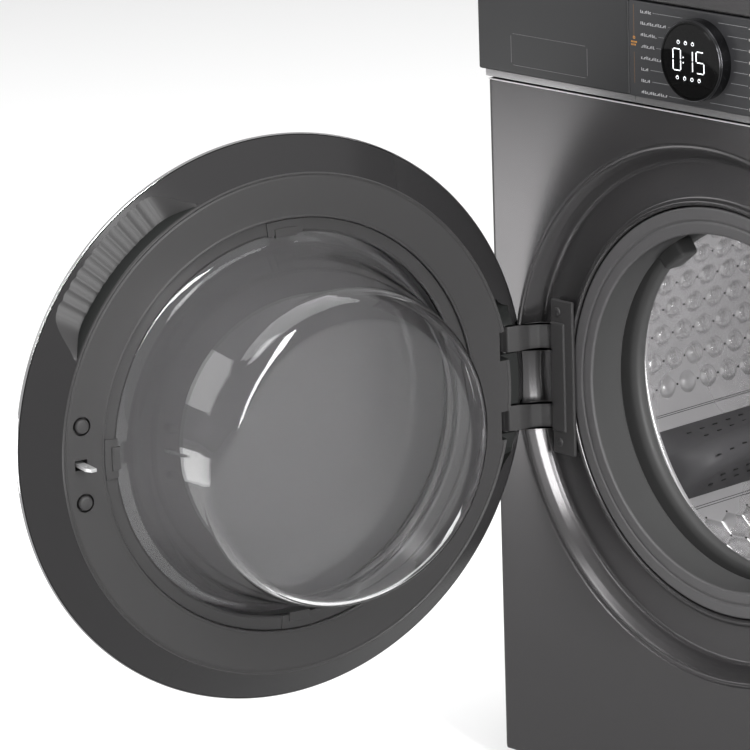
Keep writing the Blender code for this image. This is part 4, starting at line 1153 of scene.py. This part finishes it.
@dataclass
class Door:
    """The round door: its rings, window, glass bowl, finger grip, latch and hinge."""

    layout: Layout
    repeat: Repeater
    radius: float = 0.2806
    plane: float = -0.0313
    flat_outer: float = 0.2480
    flat_inner: float = 0.2040
    flat_height: float = 0.0330
    rim_top: float = 0.0310
    rim_start: float = 0.0030
    latch_x: float = 0.2290
    peg_x: float = 0.2265
    peg_z: float = 0.0375
    arm_z: float = 0.0405
    arm_height: float = 0.026
    pockets: list[Pocket] = field(default_factory=list)

    def spot(self, x: float, height: float, z: float) -> Point3:
        """A point on the closed door."""
        return self.layout.at(x, self.plane + height, z)

    def rim_height(self, radius: float) -> float:
        """How high the sloped rim is at a radius."""
        share = (radius - self.flat_outer) / (self.radius - 0.0016 - self.flat_outer)
        return self.rim_top + (self.rim_start - self.rim_top) * share

    def turned(self, name: str, outline: Sequence[Point2], steps: int = FINE_STEPS) -> bpy.types.Object:
        """A turned piece on the closed door's own axis."""
        return lathe(name, outline, self.spot(0, 0, 0), steps)

    def done(self, obj: bpy.types.Object, slot: str, *nodes: str, body: str = "door") -> None:
        """Swings a closed-door piece open and hands it over.

        Args:
            obj: the piece, as on the closed door.
            slot: its material slot.
            nodes: the nodes that it stands for.
            body: the body that it rides on.
        """
        obj.data.transform(self.layout.door_turn)
        hand_over(obj, body, slot, *nodes)

    def rings(self) -> None:
        """The chrome ring, the window with its mask, and the outer frame."""
        r = self.radius
        trim = fillet([(r, -0.0010), (r, 0.0020), (r - 0.0010, 0.0028), (r - 0.0013, 0.0), (0.2740, 0.0),
                       (0.2740, -0.0060), (0.2762, -0.0060)], 0.0009)
        self.done(coated(self.turned("door_chrome_ring", trim), CHROME), "chrome_trim", "door_trim_ring")
        outer = [(0.0, -0.0140), (0.060, -0.0138), (0.130, -0.0130), (0.200, -0.0106), (0.255, -0.0076),
                 (0.2725, -0.0064),
                 (0.2735, -0.0056), (0.2735, -0.0026), (0.200, -0.0066), (0.130, -0.0095), (0.0, -0.0105)]
        self.done(coated(self.turned("door_window", outer), SMOKED), "smoked_glass", "door_outer_window")
        frame = fillet([(0.2737, -0.0022), (0.2737, -0.0002), (0.1925, -0.0002), (0.1925, -0.0058)], 0.0003)
        self.done(coated(self.turned("door_mask_ring", frame), MASK), "door_plastic", "door_outer_frame")

    def inner_frame(self) -> None:
        """The sloped rim and flat ring, with the finger grip, the hinge pocket and the latch's slot."""
        flat_r, flat_h = self.flat_outer, self.flat_height
        lip = 0.0007
        outline = [
            (0.1905, 0.0195), (0.2028, 0.0195), (self.flat_inner, 0.0204), (self.flat_inner, flat_h - 0.0006),
            (self.flat_inner + 0.0008, flat_h + lip), (self.flat_inner + 0.0024, flat_h + lip),
            (self.flat_inner + 0.0032, flat_h),
            (flat_r - 0.0046, flat_h), (flat_r - 0.0036, flat_h - lip), (flat_r - 0.0026, flat_h - lip),
            (flat_r - 0.0018, flat_h),
            (flat_r - 0.0008, flat_h), (flat_r, self.rim_top), (self.radius - 0.0016, self.rim_start),
            (self.radius - 0.0035, 0.0006),
            (0.1905, 0.0006),
        ]
        body = self.turned("door_rim_and_ring", fillet(outline, 0.0004, 2))
        self.pockets = [
            Pocket(math.radians(46.0), math.radians(14.3), math.radians(9.5), flat_r + 0.0003, 0.2745, 0.0122,
                   0.0, 11, 0.0013),
            Pocket(math.pi, math.radians(12.5), math.radians(8.0), flat_r + 0.0002, 0.2850, 0.0135, 0.0118),
        ]
        cuts = [pocket.cutter(self) for pocket in self.pockets]
        for sign in (-1, 1):
            low, high = sorted((sign * (self.arm_z - self.arm_height / 2 - 0.0015),
                                sign * (self.arm_z + self.arm_height / 2 + 0.0015)))
            cuts.append(slab("arm_cut", self.spot(-0.2900, 0.0012, low), self.spot(-0.2350, 0.0500, high)))
        cuts.append(slab("latch_cut", self.spot(self.latch_x - 0.0065, 0.006, -0.0050),
                         self.spot(self.latch_x + 0.0065, 0.05, 0.0050)))
        for sign in (-1, 1):
            bore = [(0.0, 0.0265), (0.0092, 0.0265), (0.0092, 0.0500), (0.0, 0.0500)]
            cuts.append(lathe("peg_cut", bore, self.spot(self.peg_x, 0, sign * self.peg_z), MEDIUM_STEPS))
        combine(body, cuts, "DIFFERENCE")
        coated(body, DOOR)
        self.paint_rim(body)
        self.done(body, "door_plastic", "door_inner_frame")

    def paint_rim(self, body: bpy.types.Object) -> None:
        """Gives the sloped rim its gloss, and paints shade on the cut pockets' walls and the hinge pocket's
        floor.

        Args:
            body: the rim and ring, as on the closed door.
        """
        body.data.materials.append(RIM.material())
        body.data.materials.append(POCKET_SHADE.material())
        centre = Vector(self.spot(0, 0, 0))
        for face in body.data.polygons:
            at = face.center - centre
            across, height = math.hypot(at.x, at.z), at.y
            on_slope = across > self.flat_outer - 0.0002 and abs(height - self.rim_height(across)) < 0.0006
            if on_slope and face.normal.y > 0.3:
                face.material_index = 1
            # painted shade on the hinge pocket's floor
            elif across > 0.2330 and height < self.flat_height - 0.0015 and at.x < -0.2 and abs(at.z) < 0.095:
                face.material_index = 2
            # painted shade on the pocket walls at the flat ring's edge
            elif abs(across - self.flat_outer) < 0.0012 and height < self.rim_top - 0.0015:
                face.material_index = 2

    def glass(self) -> None:
        """The bowl and the ring with three clips that holds it."""
        bowl = [(0.1980, 0.0240), (0.1880, 0.0240), (0.1795, 0.0280), (0.1722, 0.0450), (0.1550, 0.1360),
                (0.1490, 0.1490), (0.1340, 0.1565), (0.0, 0.1600)]
        smooth = sheet(bowl, -0.0040, 0.008)
        self.done(coated(self.turned("door_glass_bowl", smooth), CLEAR), "clear_glass", "door_bowl")
        ring = fillet([(0.1900, 0.0265), (0.1900, 0.0292), (0.1925, 0.0305), (0.2036, 0.0305), (0.2036, 0.0245),
                       (0.1990, 0.0245), (0.1990, 0.0265)], 0.0006)
        pieces = [self.turned("bowl_ring", ring)]
        for middle in (0.0, math.pi / 2, -math.pi / 2):
            reach = 0.100
            arc_out = circle(0.2034, 12, middle - reach, middle + reach)
            arc_in = circle(0.1895, 12, middle + reach, middle - reach)
            pieces.append(prism("bowl_clip", arc_out + arc_in, 0.0300, 0.0318, lambda a, b,
                                h: self.spot(a, h, b), 0.0005))
            arc_out = circle(0.1960, 8, middle - reach * 0.6, middle + reach * 0.6)
            arc_in = circle(0.1870, 8, middle + reach * 0.6, middle - reach * 0.6)
            pieces.append(prism("bowl_tongue", arc_out + arc_in, 0.0285, 0.0330, lambda a, b,
                                h: self.spot(a, h, b), 0.0006))
        whole = merged("bowl_ring_and_clips", [coated(piece, DOOR) for piece in pieces])
        self.done(whole, "door_plastic", "bowl_clamp_ring")

    def latch(self) -> None:
        """The hook with its eye, and the two pegs."""
        x = self.latch_x
        outline = [(x - 0.0045, 0.0115), (x + 0.0045, 0.0115), (x + 0.0045, 0.0500), (x + 0.0010, 0.0560),
                   (x - 0.0045, 0.0560)]
        hook = prism("hook", outline, -0.0018, 0.0018, lambda a, h, z: self.spot(a, h, z), 0.0004)
        eye = slab("hook_eye", self.spot(x - 0.0022, 0.0430, -0.01), self.spot(x + 0.0022, 0.0490, 0.01))
        combine(hook, (eye,), "DIFFERENCE")
        self.done(coated(hook, LATCH_STEEL), "bare_steel", "latch_hook", body="latch")
        for end, sign in (("lower", -1), ("upper", 1)):
            outline = fillet([(0.0, 0.0360), (0.0060, 0.0355), (0.0072, 0.0340), (0.0072, 0.0266),
                              (0.0, 0.0266)], 0.0010)
            peg = lathe(f"door_peg_{end}_cap", outline, self.spot(self.peg_x, 0, sign * self.peg_z),
                        MEDIUM_STEPS)
            self.done(coated(peg, DOOR), "door_plastic", f"door_peg_{end}")

    def hinge(self) -> None:
        """The bracket in the recess, its two goosenecks and its screws."""
        lay = self.layout
        depth = lay.hinge[1] - lay.front
        plate = slab("bracket_plate", lay.at(-0.2265, 0.0118, -0.079), lay.at(-0.1965, 0.0158, 0.079), 0.0016,
                     3)
        step = slab("bracket_step", lay.at(-0.2265, 0.0100, -0.056), lay.at(-0.2075, 0.0150, 0.056), 0.0018, 3)
        parts = [plate, step]
        route = [(-0.256, depth - 0.0055), (-0.2475, depth - 0.0030), (-0.2430, -0.0160), (-0.2415, -0.0040),
                 (-0.2370, 0.0060), (-0.2300, 0.0110), (-0.2180, 0.0125)]
        outline = fillet(sheet(route, -0.0040, 0.002), 0.0003, 1)
        for sign in (-1, 1):
            low, high = sorted((sign * (self.arm_z - self.arm_height / 2),
                                sign * (self.arm_z + self.arm_height / 2)))
            parts.append(prism("gooseneck", outline, low, high, lambda a, d, z: lay.at(a, d, z), 0.0008))
            parts.append(lathe("knuckle",
                               fillet([(0.0, low), (0.0056, low), (0.0056, high), (0.0, high)], 0.0006),
                               (lay.hinge[0], lay.hinge[1], lay.axis), MEDIUM_STEPS, (0, 0, 1)))
            parts.append(slab("bracket_foot", lay.at(-0.2235, 0.0150, sign * 0.067 - 0.008),
                              lay.at(-0.2115, 0.0202, sign * 0.067 + 0.008)))
            head = fillet([(0.0, 0.0), (0.0042, 0.0006), (0.0046, 0.0018), (0.0046, 0.0040), (0.0, 0.0040)],
                          0.0006)
            screw = lathe("bracket_screw", head, lay.at(-0.2170, 0.0098, sign * 0.0670), SMALL_STEPS)
            cross = [slab("drive", lay.at(-0.2170 - a, 0.0090, sign * 0.067 - b),
                          lay.at(-0.2170 + a, 0.0112, sign * 0.067 + b))
                     for a, b in ((0.0026, 0.0004), (0.0004, 0.0026))]
            parts.append(combine(screw, cross, "DIFFERENCE"))
        whole = merged("hinge_bracket_and_arms", [coated(part, DOOR) for part in parts])
        hand_over(whole, "cabinet", "door_plastic", "hinge_bracket")

    def build(self) -> None:
        """Builds the whole door."""
        self.rings()
        self.inner_frame()
        self.glass()
        self.latch()
        self.hinge()


# ---------------------------------------------------------------- drum and gasket
@dataclass
class Drum:
    """The steel drum with its embossed wall, its lifters and the gasket in front of it."""

    layout: Layout
    repeat: Repeater
    radius: float = 0.2450
    wall: float = 0.0012
    first_lifter: float = math.radians(210.7)
    lifter_half: float = 0.0375
    lifter_height: float = 0.046
    crest_lean: float = 0.012
    crest_half: float = 0.0125
    foot_lift: float = 0.0022
    ridge_base: float = 0.2425
    ridge_start: float = 0.15
    ridge_length: float = 0.25
    drain_count: int = 10
    drain_start: float = 0.186
    drain_pitch: float = 0.0195
    ridge_ends: tuple[Point2, ...] = (
        (0.1500, 0.03), (0.1512, 0.12), (0.1560, 0.34), (0.1640, 0.58), (0.1740, 0.78), (0.1860, 0.92),
        (0.2000, 1.0), (0.2700, 1.0), (0.3500, 1.0), (0.3720, 0.96), (0.3880, 0.80), (0.3970, 0.50),
        (0.4000, 0.05),
    )
    bump_radius: float = 0.0114
    bump_height: float = 0.0060
    pitch: float = 0.0302
    first_bump: float = 0.1420
    last_bump: float = 0.4060
    first_row: float = math.radians(18.7)
    row_count: int = 14
    hole_radius: float = 0.0011

    def inward(self, angle: float, depth: float, lift: float = 0.0) -> Spot:
        """A spot on the wall's inner side that faces the axis.

        Args:
            angle: its angle from +X.
            depth: its depth.
            lift: how far it stands off the wall.

        Returns:
            The spot.
        """
        r = self.radius - self.wall - lift
        return Spot(self.layout.at(r * math.cos(angle), depth, r * math.sin(angle)),
                    (-math.cos(angle), 0, -math.sin(angle)), (0, 1, 0))

    def shell(self) -> None:
        """The drum's wall, front, rolled mouth and ribbed back."""
        path = [(0.2052, 0.1262), (0.2052, 0.1232), (0.2070, 0.1214), (0.2105, 0.1225), (0.2350, 0.1270),
                (self.radius, 0.1380), (self.radius, 0.4140), (0.2350, 0.4245), (0.0300, 0.4245)]
        body = coated(lathe("drum_shell", sheet(path, -self.wall, 0.0018), self.layout.centre()), STEEL)
        parts = [body]
        for k in range(3):
            middle = self.first_lifter + math.pi / 3 + k * 2 * math.pi / 3
            outline = fillet([(0.050, -0.022), (0.205, -0.052), (0.205, 0.052), (0.050, 0.022)], 0.02, 6)
            cos, sin = math.cos(middle), math.sin(middle)

            def place(a: float, b: float, d: float, cos: float = cos, sin: float = sin) -> Point3:
                """A point of this stamp."""
                return self.layout.at(a * cos - b * sin, d, a * sin + b * cos)

            parts.append(coated(prism("back_stamp", outline, 0.4205, 0.4232, place, 0.0022), STEEL))
        parts += self.seams()
        hand_over(merged("drum_steelwork", parts), "drum", "drum_steel", "drum")

    def seams(self) -> list[bpy.types.Object]:
        """The folded joints of the wall: two fine dark lines on each side of every lifter.

        Returns:
            One strip for each line.
        """
        lines = []
        r = self.radius - self.wall
        for k in range(3):
            for offset in (-12.45, -12.0, 11.2, 11.8):
                angle = self.first_lifter + k * 2 * math.pi / 3 + math.radians(offset)
                turn = Matrix.Translation(self.layout.centre()) @ Matrix.Rotation(-angle, 4, "Y")
                line = slab("seam", (r - 0.0003, 0.1400, -0.0003), (r + 0.0004, 0.4130, 0.0003))
                line.data.transform(turn)
                lines.append(coated(line, JOINT_AND_HOLE_SHADE))
        return lines

    def lattice(self) -> Iterable[tuple[int, float, float]]:
        """The wall's triangular lattice.

        Returns:
            The sector, the angle and the depth of each place.
        """
        step = (2 * math.pi / 3 - 2 * self.first_row) / (self.row_count - 1)
        count = int((self.last_bump - self.first_bump) / self.pitch)
        for sector in range(3):
            start = self.first_lifter + sector * 2 * math.pi / 3 + self.first_row
            for row in range(self.row_count):
                shift = 0.5 * self.pitch * (row % 2)
                for k in range(count + 1):
                    depth = self.first_bump + shift + k * self.pitch
                    if depth <= self.last_bump:
                        yield sector, start + step * row, depth

    def emboss(self) -> None:
        """Round bumps between most lifters, and hexagonal pillows with holes at their corners in one."""
        domes, cells, holes = [], [], []
        for sector, angle, depth in self.lattice():
            if sector == 0:
                cells.append(self.inward(angle, depth, -0.0004))
                for turn in (0.333, -0.333):
                    holes.append(self.inward(angle + turn * 0.108 * 2, depth, 0.0002))
            else:
                domes.append(self.inward(angle, depth, -0.0002))
                holes.append(self.inward(angle, depth + self.pitch * 0.5, 0.0002))
        h, r = self.bump_height, self.bump_radius
        dome = [(0.0, 0.0), (r * 1.06, 0.0), (r * 0.99, h * 0.20), (r * 0.84, h * 0.58), (r * 0.56, h * 0.87),
                (r * 0.26, h * 0.98), (0.0, h)]
        bumps = self.repeat.place("drum_bumps", lathe("bump", dome, (0, 0, 0), 18, (0, 0, 1)), domes, STEEL)
        half = self.pitch / math.sqrt(3)
        pillow = [(0.0, 0.0), (half * 0.99, 0.0), (half * 0.97, h * 0.10), (half * 0.78, h * 0.52),
                  (half * 0.45, h * 0.84), (0.0, h * 0.95)]
        shape = lathe("cell", pillow, (0, 0, 0), 6, (0, 0, 1))
        shape.data.transform(Matrix.Rotation(math.pi / 6, 4, "Z"))
        pillows = self.repeat.place("drum_cells", shape, cells, STEEL)
        # painted shade: the holes are flat dark discs on the wall in place of openings
        rim = [(0.0, -0.0004), (self.hole_radius, -0.0004), (self.hole_radius, 0.0003), (0.0, 0.0003)]
        dots = self.repeat.place("drum_holes", lathe("hole", rim, (0, 0, 0), 8, (0, 0, 1)), holes, JOINT_AND_HOLE_SHADE)
        hand_over(merged("drum_embossing", [bumps, pillows]), "drum", "drum_steel")
        hand_over(dots, "drum", "drum_steel")

    def lean(self, depth: float) -> float:
        """How far a ridge's crest lies to the side at a depth."""
        return self.crest_lean * (1 - 2 * (depth - self.ridge_start) / self.ridge_length)

    def ridge_place(self, middle: float) -> Callable[[float, float, float], Point3]:
        """The way from a ridge's own plane to the drum.

        Args:
            middle: the ridge's angle.

        Returns:
            A function of the place across, the height over the wall and the depth.
        """
        cos, sin = math.cos(middle), math.sin(middle)

        def place(a: float, b: float, depth: float) -> Point3:
            """A point of this ridge."""
            base = self.ridge_base
            return self.layout.at((base - b) * cos - a * sin, depth, (base - b) * sin + a * cos)

        return place

    def lifters(self) -> None:
        """Three hollow ridges whose rounded crests lean along the drum, with rows of drain slots."""
        slots = []
        half, top = self.lifter_half, self.lifter_height
        for k, node in enumerate(("lifter_a", "lifter_b", "lifter_c")):
            place = self.ridge_place(self.first_lifter + k * 2 * math.pi / 3)
            loops = []
            for depth, share in self.ridge_ends:
                lean = self.lean(depth)
                section = [(-half, 0.0), (half, 0.0), (half - 0.0005, self.foot_lift),
                           (self.crest_half + lean, top * share), (-self.crest_half + lean, top * share),
                           (-half + 0.0005, self.foot_lift)]
                loops.append([place(a, b, depth) for a, b in fillet(section, 0.012, 6)])
            ridge = coated(loft(f"{node}_ridge", loops), LIFTER)
            hand_over(ridge, "drum", "door_plastic", node)
            slots += self.drains(place)
        # painted shade: the drain slots are flat dark plates on the ridges in place of openings
        shape = slab("drain", (-0.0030, -0.0009, -0.0006), (0.0030, 0.0009, 0.0002), 0.00025, 1)
        hand_over(self.repeat.place("lifter_drain_slots", shape, slots, JOINT_AND_HOLE_SHADE), "drum", "door_plastic")

    def drains(self, place: Callable[[float, float, float], Point3]) -> list[Spot]:
        """The drain slots of one ridge: two rows on each side and one along the crest.

        Args:
            place: the way from the ridge's own plane to the drum.

        Returns:
            One spot for each slot.
        """
        slots = []
        half, top = self.lifter_half, self.lifter_height
        for i in range(self.drain_count):
            depth = self.drain_start + self.drain_pitch * i
            lean = self.lean(depth)
            for side in (-1, 1):
                foot = Vector((side * (half - 0.0005), self.foot_lift))
                crest = Vector((side * self.crest_half + lean, top))
                away = Vector((crest.y - foot.y, -(crest.x - foot.x))) * side
                for share, push in ((0.34, 0.0), (0.62, self.drain_pitch / 2)):
                    spot = foot.lerp(crest, share)
                    at = Vector(place(spot.x, spot.y, depth + push))
                    out = Vector(place(spot.x + away.x, spot.y + away.y, depth + push)) - at
                    slots.append(Spot(tuple(at + out.normalized() * 0.0003), tuple(out), (0, 1, 0)))
            at = Vector(place(lean, top, depth))
            out = Vector(place(lean, top + 1, depth)) - at
            slots.append(Spot(tuple(at + out.normalized() * 0.0002), tuple(out), (0, 1, 0)))
        return slots

    def gasket(self) -> None:
        """The rubber bellows, with its front lip painted lighter than the same rubber as painted light, its
        groove and the spray nozzle.
        """
        lip = [(0.2025, 0.0300), (0.2025, 0.0186), (0.2010, 0.0172), (0.1905, 0.0170), (0.1893, 0.0184),
               (0.1880, 0.0184), (0.1868, 0.0170), (0.1775, 0.0170), (0.1760, 0.0190)]
        tube = [(0.1762, 0.0185), (0.1758, 0.0330), (0.1766, 0.0590), (0.1830, 0.0645), (0.1930, 0.0670),
                (0.1952, 0.0705), (0.1930, 0.0740), (0.1800, 0.0765), (0.1742, 0.0800), (0.1728, 0.0850),
                (0.1742, 0.0905), (0.1800, 0.0950), (0.1900, 0.0980), (0.2000, 0.0985), (0.2003, 0.0870)]
        origin = self.layout.centre()
        # painted light: the front lip is lighter than the same rubber of the bellows
        pale = coated(lathe("gasket_front", sheet(lip, 0.0022, 0.0012), origin), LIP_PAINTED_LIGHT)
        dark = coated(lathe("gasket_bellows", sheet(tube, 0.0022, 0.0040), origin), RUBBER)
        nozzle = []
        for angle in (math.radians(128), math.radians(52)):
            block = slab("nozzle", (-0.016, 0.0560, 0.1600), (0.016, 0.0800, 0.1800), 0.004, 4)
            turn = Matrix.Translation(origin) @ Matrix.Rotation(math.pi / 2 - angle, 4, "Y")
            block.data.transform(turn)
            nozzle.append(coated(block, RUBBER))
        whole = merged("gasket_and_lip", [pale, dark, *nozzle])
        whole.data.validate()
        self.layout.centre(0.060)
        self.layout.centre(0.085)
        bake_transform(whole)
        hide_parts("door_gasket")

    def build(self) -> None:
        """Builds the drum and what is in and before it."""
        self.shell()
        self.emboss()
        self.lifters()
        self.gasket()


# ---------------------------------------------------------------- works
@dataclass
class Works:
    """The pieces that keep their frame mesh: they only get their finish."""

    layout: Layout
    finishes: dict[str, Finish] = field(default_factory=lambda: {
        "tub_front": RESIN, "tub_rear": RESIN, "counterweight_upper": CONCRETE, "counterweight_front": CONCRETE,
        "heater": BARE_STEEL, "bearing_front": BARE_STEEL, "bearing_rear": BARE_STEEL,
        "motor": ZINC, "motor_pulley": BARE_STEEL, "drive_belt": BLACK_RUBBER,
        "drum_spider": CAST, "drum_shaft": BARE_STEEL, "drum_pulley": CAST,
        "spring_left": BARE_STEEL, "spring_right": BARE_STEEL,
        "damper_left": BLACK_RUBBER, "damper_right": BLACK_RUBBER,
        "drain_pump": WHITE_RESIN, "inlet_valve": WHITE_RESIN, "cord_gland": BLACK_RUBBER,
        "sump_hose": BLACK_RUBBER, "dispenser_hose": BLACK_RUBBER,
        "dispenser_housing": RESIN, "dispenser_tray": RESIN, "control_board": BOARD, "door_lock": DRAWER,
        "hinge_pin": BARE_STEEL, "latch_pin": BARE_STEEL, "filter_cap": FASCIA,
    })

    def build(self) -> None:
        """Gives each piece its finish, smooth where it is round."""
        for node, finish in self.finishes.items():
            coated(self.layout.frame["nodes"][node], finish)
            LOG.info("%s: %s", node, finish.name)


# ---------------------------------------------------------------- studio
@dataclass
class Studio:
    """The pale floor, the soft lights and the camera."""

    layout: Layout
    yaw: float = math.radians(47.6968)
    pitch: float = math.radians(15.1278)
    roll: float = math.radians(-1.8615)
    lens: float = 237.83
    camera_at: Point3 = (3.1646, -3.3114, 1.2890)

    def floor(self) -> None:
        """A wide pale floor under the feet."""
        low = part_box("foot_front_left")[0][2]
        bpy.ops.mesh.primitive_plane_add(size=24, location=(0, 0, low - 0.0003))
        plane = bpy.context.active_object
        plane.name = "studio_floor"
        plane.data.materials.append(Finish("studio_floor", (0.93, 0.93, 0.93), 0.8).material())
        plane.visible_glossy = False

    def light(self, name: str, at: Point3, aim: Point3, size: Point2, power: float,
              mirrored: bool = True) -> None:
        """A soft rectangular light.

        Args:
            name: its name.
            at: its place.
            aim: the point that it faces.
            size: its width and height.
            power: watts.
            mirrored: whether glossy surfaces show it.
        """
        data = bpy.data.lights.new(name, "AREA")
        data.shape = "RECTANGLE"
        data.size, data.size_y = size
        data.energy = power
        lamp = bpy.data.objects.new(name, data)
        lamp.location = at
        lamp.rotation_euler = (Vector(aim) - Vector(at)).to_track_quat("-Z", "Y").to_euler()
        lamp.visible_camera = False
        lamp.visible_glossy = mirrored
        bpy.context.scene.collection.objects.link(lamp)

    def world(self) -> None:
        """An even pale surround."""
        world = bpy.data.worlds.new("studio_surround")
        world.use_nodes = True
        shade = world.node_tree.nodes["Background"]
        shade.inputs["Color"].default_value = (1, 1, 1, 1)
        shade.inputs["Strength"].default_value = 0.42
        bpy.context.scene.world = world

    def camera(self) -> None:
        """The camera, at the right of the machine and above it, with a long lens."""
        cos, sin = math.cos, math.sin
        look = Vector((-sin(self.yaw) * cos(self.pitch), cos(self.yaw) * cos(self.pitch), -sin(self.pitch)))
        right = Vector((cos(self.yaw), sin(self.yaw), 0))
        up = right.cross(look)
        turned_right = right * cos(self.roll) + up * sin(self.roll)
        turned_up = up * cos(self.roll) - right * sin(self.roll)
        data = bpy.data.cameras.new("camera")
        data.lens = self.lens
        data.sensor_width = 36
        data.clip_end = 60
        eye = bpy.data.objects.new("camera", data)
        x, depth, z = self.camera_at
        basis = Matrix((turned_right, turned_up, -look)).transposed().to_4x4()
        eye.matrix_world = Matrix.Translation(self.layout.at(x, depth, z)) @ basis
        bpy.context.scene.collection.objects.link(eye)
        bpy.context.scene.camera = eye

    def build(self) -> None:
        """Sets the whole studio."""
        self.floor()
        self.world()
        target = self.layout.centre()
        self.light("key_light", (0.3, -1.6, 2.2), target, (0.9, 0.7), 9)
        self.light("side_strip", (2.6, -1.1, 1.2), target, (0.35, 2.2), 64)
        self.light("low_card", (-1.15, -1.45, 0.14), (-0.1, 0.0, 0.5), (1.3, 0.34), 5.0)
        self.light("left_fill", (-3.2, -2.6, 2.2), target, (1.8, 1.8), 20)
        self.light("top_light", (0.0, -0.5, 5.0), (0, 0, 0), (6.0, 6.0), 400, mirrored=False)
        self.light("drum_light", self.layout.at(0.05, 0.13, 0.02), self.layout.at(-0.20, 0.25, -0.08),
                   (0.10, 0.10), 1.5,
                   mirrored=False)
        self.camera()


def main() -> None:
    """Builds every piece in order around the frame and finishes the scene."""
    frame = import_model()
    bpy.context.scene.view_settings.view_transform = "Standard"
    layout = Layout.read(frame)
    repeat = Repeater()
    Works(layout).build()
    for part in (Cabinet(layout, repeat), Controls(layout, repeat), Door(layout, repeat), Drum(layout, repeat),
                 Studio(layout)):
        part.build()
        LOG.info("%s done", type(part).__name__)


if __name__ == "__main__":
    logging.basicConfig(level=logging.INFO, format="%(message)s")
    main()
